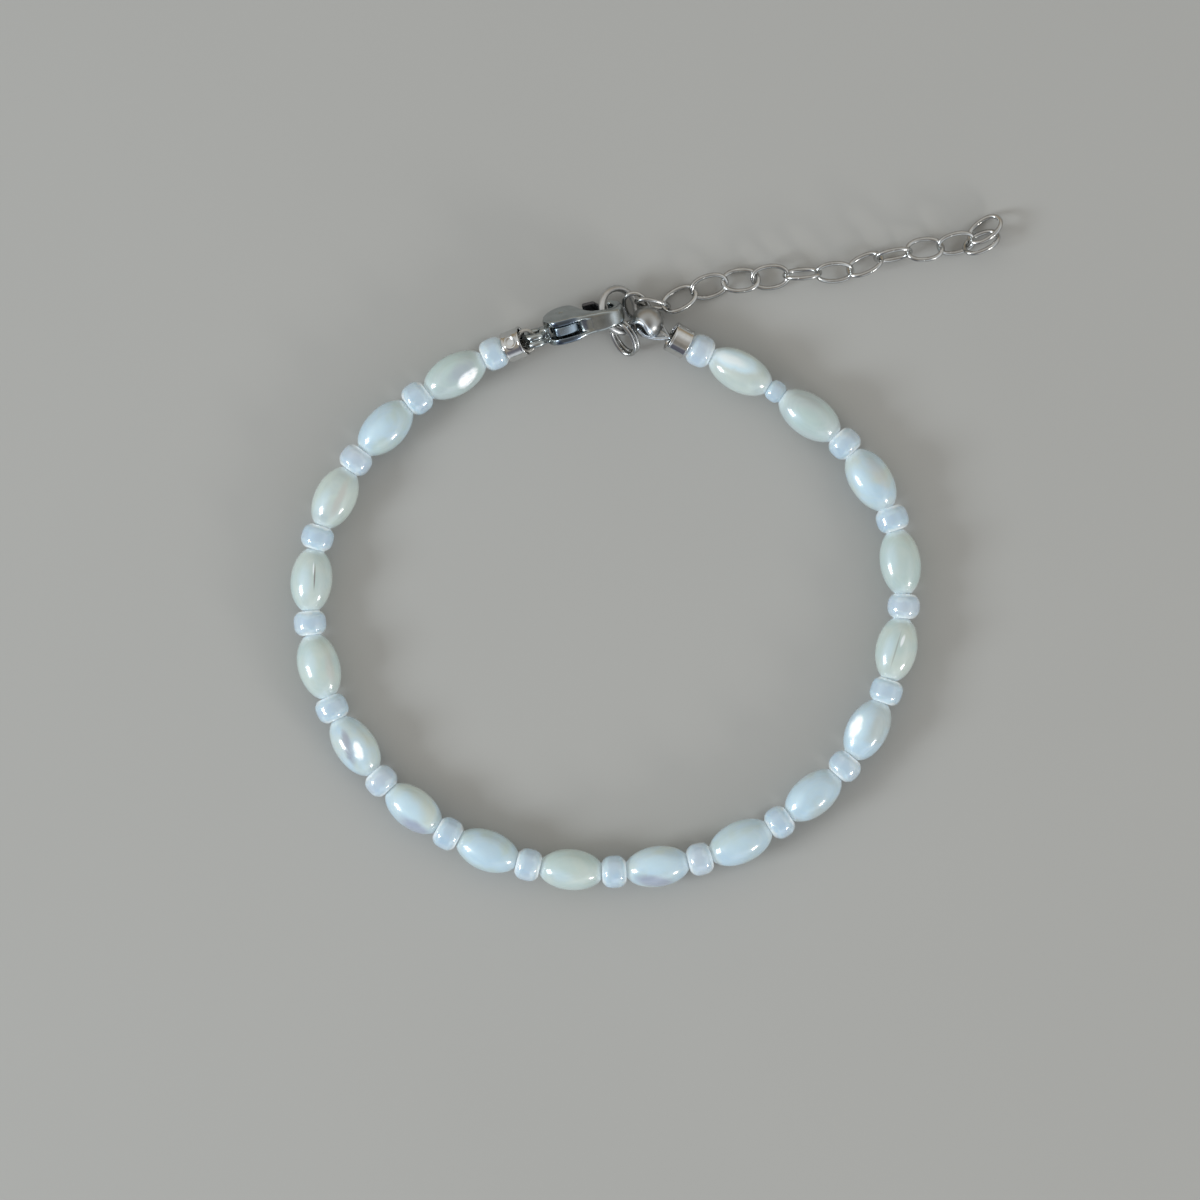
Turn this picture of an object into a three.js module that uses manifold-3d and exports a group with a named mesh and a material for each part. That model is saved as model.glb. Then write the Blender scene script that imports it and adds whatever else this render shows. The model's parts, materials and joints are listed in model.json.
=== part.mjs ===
// Beaded bracelet: mother-of-pearl rice beads and white seed beads on a beading wire, closed by a
// lobster clasp, with an extender chain. It lies on a flat surface. Millimetres and degrees, +Z up.
import * as THREE from 'three'
import * as BufferGeometryUtils from 'three/addons/utils/BufferGeometryUtils.js'
import Module from 'manifold-3d'

const wasm = await Module()
wasm.setup()

// ---------------------------------------------------------------- driving dimensions

const STRAND = { height: 2.0, start: 1.8, gap: 0.107, bore: 0.8 }
const NACRE = { end: 1.0, fullness: 2.0, belt: 0.16, rows: [0.5, 0.8, 1], sides: 12 }
const SEED = { length: 2.02, width: 3.0, shoulder: 0.65, sides: 10 }
const SMALL_SEED = { length: 1.3, width: 2.05, shoulder: 0.4, sides: 10 }
const WIRE = { width: 0.36, sides: 8, steps: 110, loopSteps: 24, inCap: 1.2, clear: 0.08, apart: 0.05 }
const CAP = { length: 1.8, width: 3.05, wall: 0.2, ease: 0.3, hole: 0.8, gap: 0.22, sides: 20 }
const LINK = { length: 3.9, width: 2.7, wire: 0.45, contact: 0.12, around: 16, sides: 6 }

// The strand's middle line about the loop's centre: where it runs at each compass angle.
const LOOP = [
  { angle: 109, radius: 25.1 },
  { angle: 126, radius: 25.3 },
  { angle: 144, radius: 26.4 },
  { angle: 162, radius: 27.7 },
  { angle: 180, radius: 28.6 },
  { angle: 204, radius: 28.8 },
  { angle: 230, radius: 28.3 },
  { angle: 256, radius: 27.6 },
  { angle: 280, radius: 27.3 },
  { angle: 300, radius: 27.9 },
  { angle: 328, radius: 28.8 },
  { angle: 356, radius: 28.7 },
  { angle: 375, radius: 28.3 },
  { angle: 391, radius: 26.9 },
  { angle: 409, radius: 25.0 },
  { angle: 420, radius: 24.6 },
  { angle: 437, radius: 25.0 },
]

// The rice beads from the left cap round to the right one; they are cut by hand, so they vary.
const NACRE_BEADS = [
  { length: 6.30, width: 3.95 },
  { length: 6.15, width: 4.00 },
  { length: 6.10, width: 4.05 },
  { length: 6.05, width: 4.05 },
  { length: 6.25, width: 4.10 },
  { length: 6.20, width: 4.00 },
  { length: 5.95, width: 3.90 },
  { length: 6.05, width: 3.95 },
  { length: 6.05, width: 4.00 },
  { length: 6.10, width: 3.95 },
  { length: 6.20, width: 4.05 },
  { length: 6.05, width: 3.95 },
  { length: 6.05, width: 4.00 },
  { length: 6.10, width: 4.00 },
  { length: 6.25, width: 3.95 },
  { length: 6.35, width: 4.15 },
  { length: 6.45, width: 4.05 },
  { length: 6.35, width: 3.95 },
]
const SMALL_SEED_NUMBER = 18
const FINE_STEPS = 8000

// The two ends of the strand, each with the way its cap looks: heading, and upward slope.
const LEFT_CAP = { heading: 22.7, slope: 16 }
const RIGHT_CAP = { heading: 151.5, slope: 9 }

// The fastening's own frame: u along the clasp, w across it in the plane, z up.
const FASTENING = { x: -1.54, y: 25.29, heading: 14.5 }

// Lobster clasp, in its own plane: x along it from eye to nose, y towards its back.
const CLASP = { across: 0.56, height: 2.96, roll: 72, cut: 6 }
const BODY = { left: -4.35, top: 2.15, bottom: -2.1, thickness: 2.5, ease: 0.28 }
const HOOK = {
  root: -0.8, nose: 3.5, top: 1.95, inside: 0.9, tip: 2.1, window: 2.62, thickness: 1.6, ease: 0.22,
}
const EYE = {
  x: -5.35, aside: 0.5, radius: 1.25, hole: 0.6, thickness: 1.4, groove: 0.14, edge: 0.2, flare: 0.18,
  flareDepth: 0.3, sides: 18,
}
const PIVOT = { x: -2.45, y: -0.3, pin: 0.3, hole: 0.42, head: 0.5, headHeight: 0.12 }
const SLOT = { left: -3.95, right: -1.0, width: 1.3, front: 1.2, ceiling: 0.42 }
const LEVER = {
  hub: 1.38, thickness: 1.0, ease: 0.12, gateTop: -1.4, gateBottom: -1.92, reach: 1.93, tab: -2.72,
}

// Rings and loose links, in the fastening's frame: middle, and two directions that they lie along.
const CLASP_RING = {
  radius: 2.13, wire: 0.65, middle: [3.1, 0.7, 1.98], heading: 7.8, lean: 39.7, around: 28, sides: 8,
}
const JOINT_LINK = { middle: [4.79, 0.56, 1.29], along: [-0.12, 0.81, 0.575], across: [0.97, -0.03, 0.24] }
const SPARE_LINKS = [
  { middle: [3.08, -1.9, 1.41], along: [-0.22, 0.92, 0.33], across: [0.74, -0.06, 0.67] },
  { middle: [2.76, -2.08, 1.74], along: [-0.17, 0.91, 0.37], across: [0.76, -0.12, 0.64] },
]

// Clamshell bead tip: a hollow ball on the wire's knot, its neck to the cap, and its small hook.
const TIP = {
  middle: [5.45, -1.07, 2.45], radius: 1.45, wall: 0.22,
  neck: [7.15, -3.15, 2.35], neckStart: 0.4, neckWidth: 2.2, neckEnd: 0.75, neckWall: 0.15, split: 0.3,
  hook: [3.92, -1.14, 1.29], hookAcross: [-0.33, 0.857, 0.376], hookRadius: 0.6, hookWire: 0.3,
  sides: 20, hollowSides: 16, neckSides: 14, hookAround: 12,
}

// The extender's links from the joint outwards: the way each lies, and how far it is rolled over.
const EXTENDER_START = { u: 5.25, w: 1.08, z: 2.65 }
const EXTENDER = [
  { heading: -15, slope: -34, roll: 72 },
  { heading: 30, slope: -2, roll: -32 },
  { heading: 17, slope: -1, roll: 27 },
  { heading: 5, slope: 1, roll: -25 },
  { heading: 8, slope: 7, roll: 22 },
  { heading: 3, slope: 7, roll: -68 },
  { heading: 3, slope: -8, roll: 42 },
  { heading: 25, slope: 2, roll: -42 },
  { heading: 12, slope: 4, roll: 68 },
  { heading: 8, slope: -8, roll: -28 },
  { heading: 14, slope: 0, roll: 38 },
  { heading: 36, slope: 0, roll: -37 },
]
const END_LINK = { middle: [38.46, -1.7, 1.03], along: [0.98, 0.18, -0.01], across: [-0.14, 0.71, -0.69] }
const EXTENDER_SPLITS = [4, 8]
const SPLIT_GAP = 0.14

const SILVER = { color: 0xb4b8ba, roughness: 0.22, metalness: 1 }
const STEEL = { color: 0x9a9c98, roughness: 0.3, metalness: 1 }
const PEARL = { color: 0xe4eae0, roughness: 0.25, metalness: 0 }
const GLASS = { color: 0xe6eaf2, roughness: 0.15, metalness: 0 }
const CORD = { color: 0xc8c8c4, roughness: 0.5, metalness: 0 }

// ---------------------------------------------------------------- helpers

const radians = THREE.MathUtils.degToRad
const vector = ([x, y, z]) => new THREE.Vector3(x, y, z)

/** The unit vector of a heading in the plane and an upward slope, both in degrees. */
function direction(heading, slope = 0) {
  const flat = Math.cos(radians(slope))
  const turn = radians(heading)
  return new THREE.Vector3(flat * Math.cos(turn), flat * Math.sin(turn), Math.sin(radians(slope)))
}

/** A solid for joining and cutting, from a closed geometry moved by a matrix. */
function solid(geometry, matrix = new THREE.Matrix4()) {
  const moved = geometry.clone().applyMatrix4(matrix)
  moved.deleteAttribute('normal')
  moved.deleteAttribute('uv')
  const merged = BufferGeometryUtils.mergeVertices(moved, 1e-5)
  return new wasm.Manifold(new wasm.Mesh({
    numProp: 3,
    vertProperties: new Float32Array(merged.attributes.position.array),
    triVerts: new Uint32Array(merged.index.array),
  }))
}

/** The geometry of a solid, for a mesh. */
function geometryOf(body) {
  const mesh = body.getMesh()
  const geometry = new THREE.BufferGeometry()
  geometry.setAttribute('position', new THREE.BufferAttribute(mesh.vertProperties, 3))
  geometry.setIndex(new THREE.BufferAttribute(mesh.triVerts, 1))
  return geometry
}

/** A named mesh with its own material. */
function piece(name, geometry, look) {
  const mesh = new THREE.Mesh(geometry, new THREE.MeshStandardMaterial(look))
  mesh.name = name
  return mesh
}

/** A frame at a point, with x along one direction and y as near as it can be to another. */
function frameAt(point, along, across) {
  const x = along.clone().normalize()
  const z = new THREE.Vector3().crossVectors(x, across).normalize()
  const y = new THREE.Vector3().crossVectors(z, x)
  return new THREE.Matrix4().makeBasis(x, y, z).setPosition(point)
}

/** A body turned about X, from a profile of [radius, place along X] that closes on itself. */
function turned(profile, sides, facetDown = false) {
  const points = profile.map(([radius, along]) => new THREE.Vector2(radius, along))
  points.push(points[0].clone())
  const geometry = new THREE.LatheGeometry(points, sides)
  geometry.rotateY(facetDown ? Math.PI / sides : 0)
  return geometry.rotateZ(-Math.PI / 2)
}

/** A straight-sided extrusion of a flat outline, centred on its own plane, with eased edges. */
function plate(outline, thickness, ease, curveSegments = 6) {
  const geometry = new THREE.ExtrudeGeometry(outline, {
    depth: thickness - 2 * ease,
    bevelEnabled: ease > 0,
    bevelThickness: ease,
    bevelSize: ease,
    bevelOffset: -ease,
    bevelSegments: 2,
    curveSegments,
  })
  return geometry.translate(0, 0, ease - thickness / 2)
}

// ---------------------------------------------------------------- links and rings

/** An oval link in its own XY plane, long side along X: a ring pulled apart at its middle. */
function oval({ length, width, wire, around, sides }) {
  const radius = (width - wire) / 2
  const pull = (length - width) / 2
  const geometry = new THREE.TorusGeometry(radius, wire / 2, sides, around)
  geometry.rotateZ(Math.PI / around)
  const places = geometry.attributes.position
  for (let i = 0; i < places.count; i++) {
    places.setX(i, places.getX(i) + Math.sign(places.getX(i)) * pull)
  }
  return geometry
}

const chainLink = () => oval(LINK)

/** One link on its own: where its middle is, and the two ways that it lies along. */
function looseLink(name, { middle, along, across }) {
  const mesh = piece(name, chainLink(), STEEL)
  mesh.applyMatrix4(frameAt(vector(middle), vector(along), vector(across)))
  return mesh
}

/** The frames of the extender's links, each hooked into the end of the one before. */
function extenderFrames() {
  const half = LINK.length / 2 - LINK.wire
  const contact = new THREE.Vector3(EXTENDER_START.u, EXTENDER_START.w, EXTENDER_START.z)
  return EXTENDER.map(({ heading, slope, roll }, i) => {
    const along = direction(heading - FASTENING.heading, slope)
    const overlap = EXTENDER_SPLITS.includes(i) ? -SPLIT_GAP : LINK.contact
    contact.addScaledVector(along, i > 0 ? overlap : 0)
    const level = new THREE.Vector3(0, 0, 1).cross(along).normalize()
    const across = level.applyAxisAngle(along, radians(roll))
    const middle = contact.clone().addScaledVector(along, half)
    contact.addScaledVector(along, 2 * half)
    return frameAt(middle, along, across)
  })
}

/** The extender chain: its links in a few solids, with a small gap at each split. */
function extender() {
  const links = extenderFrames().map((frame) => solid(chainLink(), frame))
  const bounds = [0, ...EXTENDER_SPLITS, links.length]
  return bounds.slice(1).map((end, i) => {
    const joined = links.slice(bounds[i], end).reduce((chain, link) => chain.add(link))
    return piece(`extender_${i + 1}`, geometryOf(joined), STEEL)
  })
}

// ---------------------------------------------------------------- beads and wire

/** Half of a rice bead's section, from its bore out to its belly and back to the bore. */
function nacreProfile({ length, width }, sides) {
  const swell = 1 / Math.cos(Math.PI / sides)
  const middle = width / 2 * swell
  const bore = STRAND.bore / 2 * swell
  const tip = Math.pow(1 - Math.pow(NACRE.end / width, NACRE.fullness), 1 / NACRE.fullness)
  const radiusAt = (part) =>
    middle * Math.pow(1 - Math.pow(part * tip, NACRE.fullness), 1 / NACRE.fullness)
  const half = length / 2
  const side = NACRE.rows.map((part) => [radiusAt(part), part * half])
  const belt = [middle, NACRE.belt * half]
  const right = [belt, ...side, [bore, half]]
  const left = right.map(([radius, along]) => [radius, -along]).reverse()
  return [...left, ...right]
}

/** A seed bead's section: a short barrel with rounded shoulders. */
function seedProfile({ length, width, shoulder, sides }) {
  const swell = 1 / Math.cos(Math.PI / sides)
  const half = length / 2
  const bend = shoulder * (1 - Math.SQRT1_2)
  const right = [
    [width / 2, half - shoulder],
    [width / 2 - bend, half - bend],
    [width / 2 - shoulder, half],
    [STRAND.bore / 2, half],
  ].map(([radius, along]) => [radius * swell, along])
  const left = right.map(([radius, along]) => [radius, -along]).reverse()
  return [...left, ...right]
}

/** The middle line of the strand, from the left cap round to the right one. */
function strandLine() {
  const points = LOOP.map(({ angle, radius }) =>
    direction(angle).multiplyScalar(radius).setZ(STRAND.height))
  return new THREE.CatmullRomCurve3(points)
}

/** The beads in order, each with its name, its size and the two ends of its place on the line. */
function strungBeads() {
  const sizes = []
  NACRE_BEADS.forEach((bead, i) => {
    const seed = i + 1 === SMALL_SEED_NUMBER ? SMALL_SEED : SEED
    sizes.push({ kind: 'seed', size: seed }, { kind: 'nacre', size: bead })
  })
  sizes.push({ kind: 'seed', size: SEED })

  const line = strandLine()
  const fine = line.getSpacedPoints(FINE_STEPS)
  const counts = { seed: 0, nacre: 0 }
  let at = Math.round(STRAND.start / line.getLength() * FINE_STEPS)
  return sizes.map(({ kind, size }) => {
    const start = fine[at]
    const room = size.length + STRAND.gap
    while (fine[at].distanceTo(start) < room) at++
    counts[kind]++
    const name = `${kind}_${String(counts[kind]).padStart(2, '0')}`
    return { name, kind, size, start, end: fine[at] }
  })
}

/** One bead on its stretch of the line; a rice bead touches the surface below it. */
function bead({ name, kind, size, start, end }) {
  const nacre = kind === 'nacre'
  const sides = nacre ? NACRE.sides : size.sides
  const profile = nacre ? nacreProfile(size, sides) : seedProfile(size)
  const mesh = piece(name, turned(profile, sides, true), nacre ? PEARL : GLASS)
  const middle = start.clone().lerp(end, 0.5)
  if (nacre) middle.setZ(size.width / 2)
  const across = new THREE.Vector3(0, 0, 1).cross(end.clone().sub(start))
  mesh.applyMatrix4(frameAt(middle, end.clone().sub(start), across))
  return mesh
}

// ---------------------------------------------------------------- caps

/** An open cap: its bored end faces the beads, its mouth the fastening. */
function cap(name, seat, { heading, slope }) {
  const { length, width, wall, ease, hole, gap, sides } = CAP
  const profile = [
    [hole / 2, 0], [width / 2 - ease, 0], [width / 2, ease], [width / 2, length],
    [width / 2 - wall, length], [width / 2 - wall, wall], [hole / 2, wall],
  ]
  const mesh = piece(name, turned(profile, sides), SILVER)
  const along = direction(heading, slope)
  const start = seat.clone().addScaledVector(along, gap)
  mesh.applyMatrix4(frameAt(start, along, new THREE.Vector3(0, 0, 1).cross(along)))
  return mesh
}

// ---------------------------------------------------------------- lobster clasp

/** The clasp body's side view, up to the root of the hook. */
function bodyOutline() {
  const { left, top, bottom } = BODY
  const shape = new THREE.Shape()
  shape.moveTo(left, 0.5)
  shape.bezierCurveTo(left + 0.5, top - 0.2, left + 1.1, top, left + 1.9, top)
  shape.bezierCurveTo(-1.2, top, -0.4, HOOK.top, 0.5, HOOK.top)
  shape.lineTo(1.0, HOOK.inside)
  shape.bezierCurveTo(0.3, 0.7, -0.1, 0.1, -0.3, -1.2)
  shape.bezierCurveTo(-0.5, bottom + 0.2, -1.2, bottom, -2.2, bottom)
  shape.bezierCurveTo(left + 1.0, bottom, left + 0.4, bottom + 0.6, left, -0.5)
  return shape
}

/** The hook's side view: over the window, round the nose and back to the gate. */
function hookOutline() {
  const { root, nose, top, inside, tip, window } = HOOK
  const shape = new THREE.Shape()
  shape.moveTo(root, top)
  shape.lineTo(1.6, top)
  shape.bezierCurveTo(2.9, top, nose, 1.1, nose, 0)
  shape.bezierCurveTo(nose, -1.1, nose - 0.5, LEVER.gateBottom, tip, LEVER.gateBottom)
  shape.lineTo(tip, LEVER.gateTop)
  shape.bezierCurveTo(window - 0.1, LEVER.gateTop, window, -0.8, window, -0.2)
  shape.bezierCurveTo(window, 0.5, window - 0.4, inside, 1.7, inside)
  shape.lineTo(root, inside)
  return shape
}

/** The eye: a short tube with a groove round its middle and a flared hole. */
function eyeBody() {
  const { x, aside, radius, hole, thickness, groove, edge, flare, flareDepth, sides } = EYE
  const half = thickness / 2
  const profile = [
    [hole, -half + flareDepth], [hole + flare, -half], [radius - edge, -half], [radius, -half + edge],
    [radius, -edge], [radius - groove, 0], [radius, edge],
    [radius, half - edge], [radius - edge, half], [hole + flare, half], [hole, half - flareDepth],
  ]
  return solid(turned(profile, sides).rotateY(Math.PI / 2).translate(x, 0, aside))
}

/** A drum on the hinge's axis. */
function drum(radius, thickness, sides = 16) {
  const geometry = new THREE.CylinderGeometry(radius, radius, thickness, sides)
  return geometry.rotateX(Math.PI / 2).translate(PIVOT.x, PIVOT.y, 0)
}

/** A block of the slot's width, from one place to another along the clasp, about a height. */
function slotBlock(left, right, middle = 0) {
  const block = new THREE.BoxGeometry(right - left, CLASP.cut, SLOT.width)
  return solid(block.translate((left + right) / 2, middle, 0))
}

/** The body: eye, two cheeks with the slot between them, rivet and hook. */
function claspBody() {
  const { left, right, front, ceiling } = SLOT
  const slotTop = slotBlock(left, right)
  const slotFront = slotBlock(left, front, ceiling - CLASP.cut / 2)
  const eyeHole = drum(EYE.hole, CLASP.cut).translate(EYE.x - PIVOT.x, -PIVOT.y, 0)
  const heads = solid(drum(PIVOT.head, BODY.thickness + 2 * PIVOT.headHeight))
  const hook = solid(plate(hookOutline(), HOOK.thickness, HOOK.ease))
  return solid(plate(bodyOutline(), BODY.thickness, BODY.ease))
    .subtract(solid(eyeHole))
    .add(eyeBody())
    .subtract(slotTop)
    .add(hook.subtract(slotTop))
    .subtract(slotFront)
    .add(heads.subtract(slotBlock(left, right)))
    .add(solid(drum(PIVOT.pin, BODY.thickness)))
}

/** The lever's side view: hub, thumb tab, and the gate that closes the hook. */
function leverOutline() {
  const { hub, gateTop, gateBottom, reach, tab } = LEVER
  const shape = new THREE.Shape()
  shape.absarc(PIVOT.x, PIVOT.y, hub, radians(-20), radians(250), false)
  shape.lineTo(-1.75, tab + 0.75)
  shape.lineTo(-1.35, tab + 0.1)
  shape.lineTo(-0.95, tab)
  shape.lineTo(-0.75, tab + 0.15)
  shape.lineTo(-0.55, gateBottom)
  shape.lineTo(reach, gateBottom)
  shape.lineTo(reach, gateTop)
  shape.lineTo(0.2, gateTop)
  shape.bezierCurveTo(-0.5, gateTop, -0.9, -1.1, -1.15, PIVOT.y - hub * 0.34)
  return shape
}

function claspLever() {
  const arm = solid(plate(leverOutline(), LEVER.thickness, LEVER.ease))
  return arm.subtract(solid(drum(PIVOT.hole, CLASP.cut)))
}

/** The clasp on its edge, as it lies: its own plane rolled over about its length. */
function clasp() {
  const group = new THREE.Group()
  group.add(piece('clasp_body', geometryOf(claspBody()), STEEL))
  group.add(piece('clasp_lever', geometryOf(claspLever()), STEEL))
  group.position.set(0, CLASP.across, CLASP.height)
  group.rotation.x = radians(180 - CLASP.roll)
  return group
}

// ---------------------------------------------------------------- rings and bead tip

/** The jump ring that the hook holds, leaning on the surface. */
function claspRing() {
  const { radius, wire, middle, heading, lean, around, sides } = CLASP_RING
  const mesh = piece('ring_clasp', new THREE.TorusGeometry(radius, wire / 2, sides, around), STEEL)
  const down = direction(heading, -lean)
  mesh.applyMatrix4(frameAt(vector(middle), down, new THREE.Vector3(0, 1, 0)))
  return mesh
}

/** A round bar along X that narrows from one radius to another. */
function taper(start, end, startRadius, endRadius) {
  const geometry = new THREE.CylinderGeometry(endRadius, startRadius, end - start, TIP.neckSides)
  return geometry.rotateZ(-Math.PI / 2).translate((start + end) / 2, 0, 0)
}

/** The clamshell: a hollow ball open along one side, its neck, and the hook that the link takes. */
function beadTip() {
  const { radius, wall, neckStart, neckWidth, neckEnd, neckWall, split, hookRadius, hookWire } = TIP
  const middle = vector(TIP.middle)
  const neck = vector(TIP.neck).sub(middle)
  const place = frameAt(middle, neck, new THREE.Vector3(0, 0, 1))
  const reach = neck.length()
  const shell = new THREE.SphereGeometry(radius, TIP.sides, 12)
  const hollow = new THREE.SphereGeometry(radius - wall, TIP.hollowSides, 10)
  const cone = taper(neckStart, reach, neckWidth / 2, neckEnd / 2)
  const funnel = taper(neckStart, reach + 0.1, neckWidth / 2 - neckWall, neckEnd / 2 - neckWall / 2)
  const opening = new THREE.BoxGeometry(3 * reach, 2 * radius, split).translate(0, radius + split, 0)
  const toMiddle = middle.clone().sub(vector(TIP.hook))
  const hookPlace = frameAt(vector(TIP.hook), toMiddle, vector(TIP.hookAcross))
  const hook = new THREE.TorusGeometry(hookRadius, hookWire / 2, 6, TIP.hookAround)
  return solid(shell)
    .add(solid(cone))
    .subtract(solid(hollow))
    .subtract(solid(funnel))
    .subtract(solid(opening))
    .transform(place.elements)
    .add(solid(hook, hookPlace).subtract(solid(hollow, place)))
}

// ---------------------------------------------------------------- the whole bracelet

/** The beading wire, swept along a path. */
function wireAlong(path, steps) {
  const section = new THREE.Shape()
  section.absarc(0, 0, WIRE.width / 2, 0, 2 * Math.PI)
  return solid(new THREE.ExtrudeGeometry(section, {
    steps,
    extrudePath: path,
    curveSegments: WIRE.sides / 2,
  }))
}

/** The wire's loop, from the left cap round the left side of the clasp's eye and back. */
function wireLoop(inCap, claspPlace) {
  const besideEye = EYE.thickness / 2 + WIRE.width / 2 + WIRE.clear
  const atEye = (x, across) => new THREE.Vector3(x, 0, EYE.aside + across).applyMatrix4(claspPlace)
  return wireAlong(new THREE.CatmullRomCurve3([
    inCap,
    atEye(EYE.x - EYE.radius, besideEye),
    atEye(EYE.x - EYE.hole, besideEye),
    atEye(EYE.x, 0),
    atEye(EYE.x - EYE.hole, -besideEye),
    atEye(EYE.x - EYE.radius, -besideEye),
    inCap.clone().add(new THREE.Vector3(0, WIRE.apart, 0)),
  ]), WIRE.loopSteps)
}

/** The wire from the left cap through every bead into the bead tip, with its loop. */
function beadWire(strung, inCap, neck, inTip, claspPlace) {
  const joints = [inCap, strung[0].start, ...strung.map(({ end }) => end), neck, inTip]
  const path = new THREE.CurvePath()
  joints.slice(1).forEach((joint, i) => path.add(new THREE.LineCurve3(joints[i], joint)))
  return geometryOf(wireAlong(path, WIRE.steps).add(wireLoop(inCap, claspPlace)))
}

const strung = strungBeads()
const strandStart = strung[0].start
const strandEnd = strung[strung.length - 1].end

const bracelet = new THREE.Group()
strung.forEach((place) => bracelet.add(bead(place)))
bracelet.add(cap('cap_left', strandStart, LEFT_CAP))
bracelet.add(cap('cap_right', strandEnd, RIGHT_CAP))

const fastening = new THREE.Group()
fastening.position.set(FASTENING.x, FASTENING.y, 0)
fastening.rotation.z = radians(FASTENING.heading)
const claspGroup = clasp()
fastening.add(claspGroup, claspRing(), looseLink('link_joint', JOINT_LINK))
SPARE_LINKS.forEach((link, i) => fastening.add(looseLink(`link_spare_${i + 1}`, link)))
fastening.add(piece('bead_tip', geometryOf(beadTip()), STEEL))
fastening.add(...extender(), looseLink('link_end', END_LINK))
bracelet.add(fastening)
bracelet.updateMatrixWorld(true)

const inCap = strandStart.clone()
  .addScaledVector(direction(LEFT_CAP.heading, LEFT_CAP.slope), WIRE.inCap)
const neck = vector(TIP.neck).applyMatrix4(fastening.matrix)
const inTip = vector(TIP.middle).applyMatrix4(fastening.matrix)
bracelet.add(piece('bead_wire', beadWire(strung, inCap, neck, inTip, claspGroup.matrixWorld), CORD))

const box = new THREE.Box3().setFromObject(bracelet, true)
bracelet.position.set(-(box.min.x + box.max.x) / 2, -(box.min.y + box.max.y) / 2, 0)
bracelet.updateMatrixWorld(true)

export default bracelet
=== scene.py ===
import json
import math
import random

import bpy
import numpy as np
from mathutils import Matrix, Vector


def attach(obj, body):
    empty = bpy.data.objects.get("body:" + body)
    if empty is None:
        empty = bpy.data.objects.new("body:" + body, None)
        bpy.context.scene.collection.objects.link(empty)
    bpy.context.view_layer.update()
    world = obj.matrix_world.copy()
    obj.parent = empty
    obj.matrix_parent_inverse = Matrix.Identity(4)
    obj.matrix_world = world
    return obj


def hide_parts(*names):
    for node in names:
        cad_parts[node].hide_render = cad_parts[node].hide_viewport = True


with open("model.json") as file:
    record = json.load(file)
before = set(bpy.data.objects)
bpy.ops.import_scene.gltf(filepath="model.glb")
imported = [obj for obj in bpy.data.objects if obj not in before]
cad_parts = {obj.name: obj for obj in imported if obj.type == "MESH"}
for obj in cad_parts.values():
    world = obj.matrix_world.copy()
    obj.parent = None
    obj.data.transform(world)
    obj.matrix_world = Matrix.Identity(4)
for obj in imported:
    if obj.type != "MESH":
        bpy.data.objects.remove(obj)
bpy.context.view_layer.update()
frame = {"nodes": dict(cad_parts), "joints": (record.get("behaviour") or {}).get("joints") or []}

MM = 0.001
rng = random.Random(11)


def heading_way(heading, slope=0.0):
    """The unit way along a heading and up a slope, both in degrees."""
    turn, rise = math.radians(heading), math.radians(slope)
    return np.array((math.cos(rise) * math.cos(turn), math.cos(rise) * math.sin(turn), math.sin(rise)))


# ---- camera and lights

VIEW_CENTRE = (-0.0045, -0.0046)
VIEW_WIDTH = 0.11538
CAMERA_HEIGHT = 1.6
BEAD_HEIGHT = 0.002
SENSOR_WIDTH = 36

# Each window: name, azimuth, elevation, distance, size, power and colour.
WINDOWS = (
    ("window_left", 199, 27, 0.7, (0.24, 0.2), 2.3, (0.88, 0.95, 1.0)),
    ("window_right", 315, 18, 0.7, (0.15, 0.12), 0.93, (1.0, 0.97, 0.92)),
)


def build_camera():
    camera = bpy.data.cameras.new("camera")
    camera.sensor_width = SENSOR_WIDTH
    camera.lens = SENSOR_WIDTH * (CAMERA_HEIGHT - BEAD_HEIGHT) / VIEW_WIDTH
    camera.clip_start = 0.01
    camera.clip_end = 20
    camera_object = bpy.data.objects.new("camera", camera)
    camera_object.location = (*VIEW_CENTRE, CAMERA_HEIGHT)
    bpy.context.scene.collection.objects.link(camera_object)
    bpy.context.scene.camera = camera_object
    bpy.context.scene.view_settings.view_transform = "Standard"


def build_window(name, azimuth, elevation, distance, size, power, colour):
    lamp = bpy.data.lights.new(name, "AREA")
    lamp.shape = "RECTANGLE"
    lamp.size, lamp.size_y = size
    lamp.energy = power
    lamp.color = colour
    away = Vector(heading_way(azimuth, elevation))
    lamp_object = bpy.data.objects.new(name, lamp)
    lamp_object.location = Vector((*VIEW_CENTRE, 0)) + away * distance
    lamp_object.rotation_euler = away.to_track_quat("Z", "Y").to_euler()
    bpy.context.scene.collection.objects.link(lamp_object)


build_camera()
for window in WINDOWS:
    build_window(*window)

# ---- shader nodes


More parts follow.
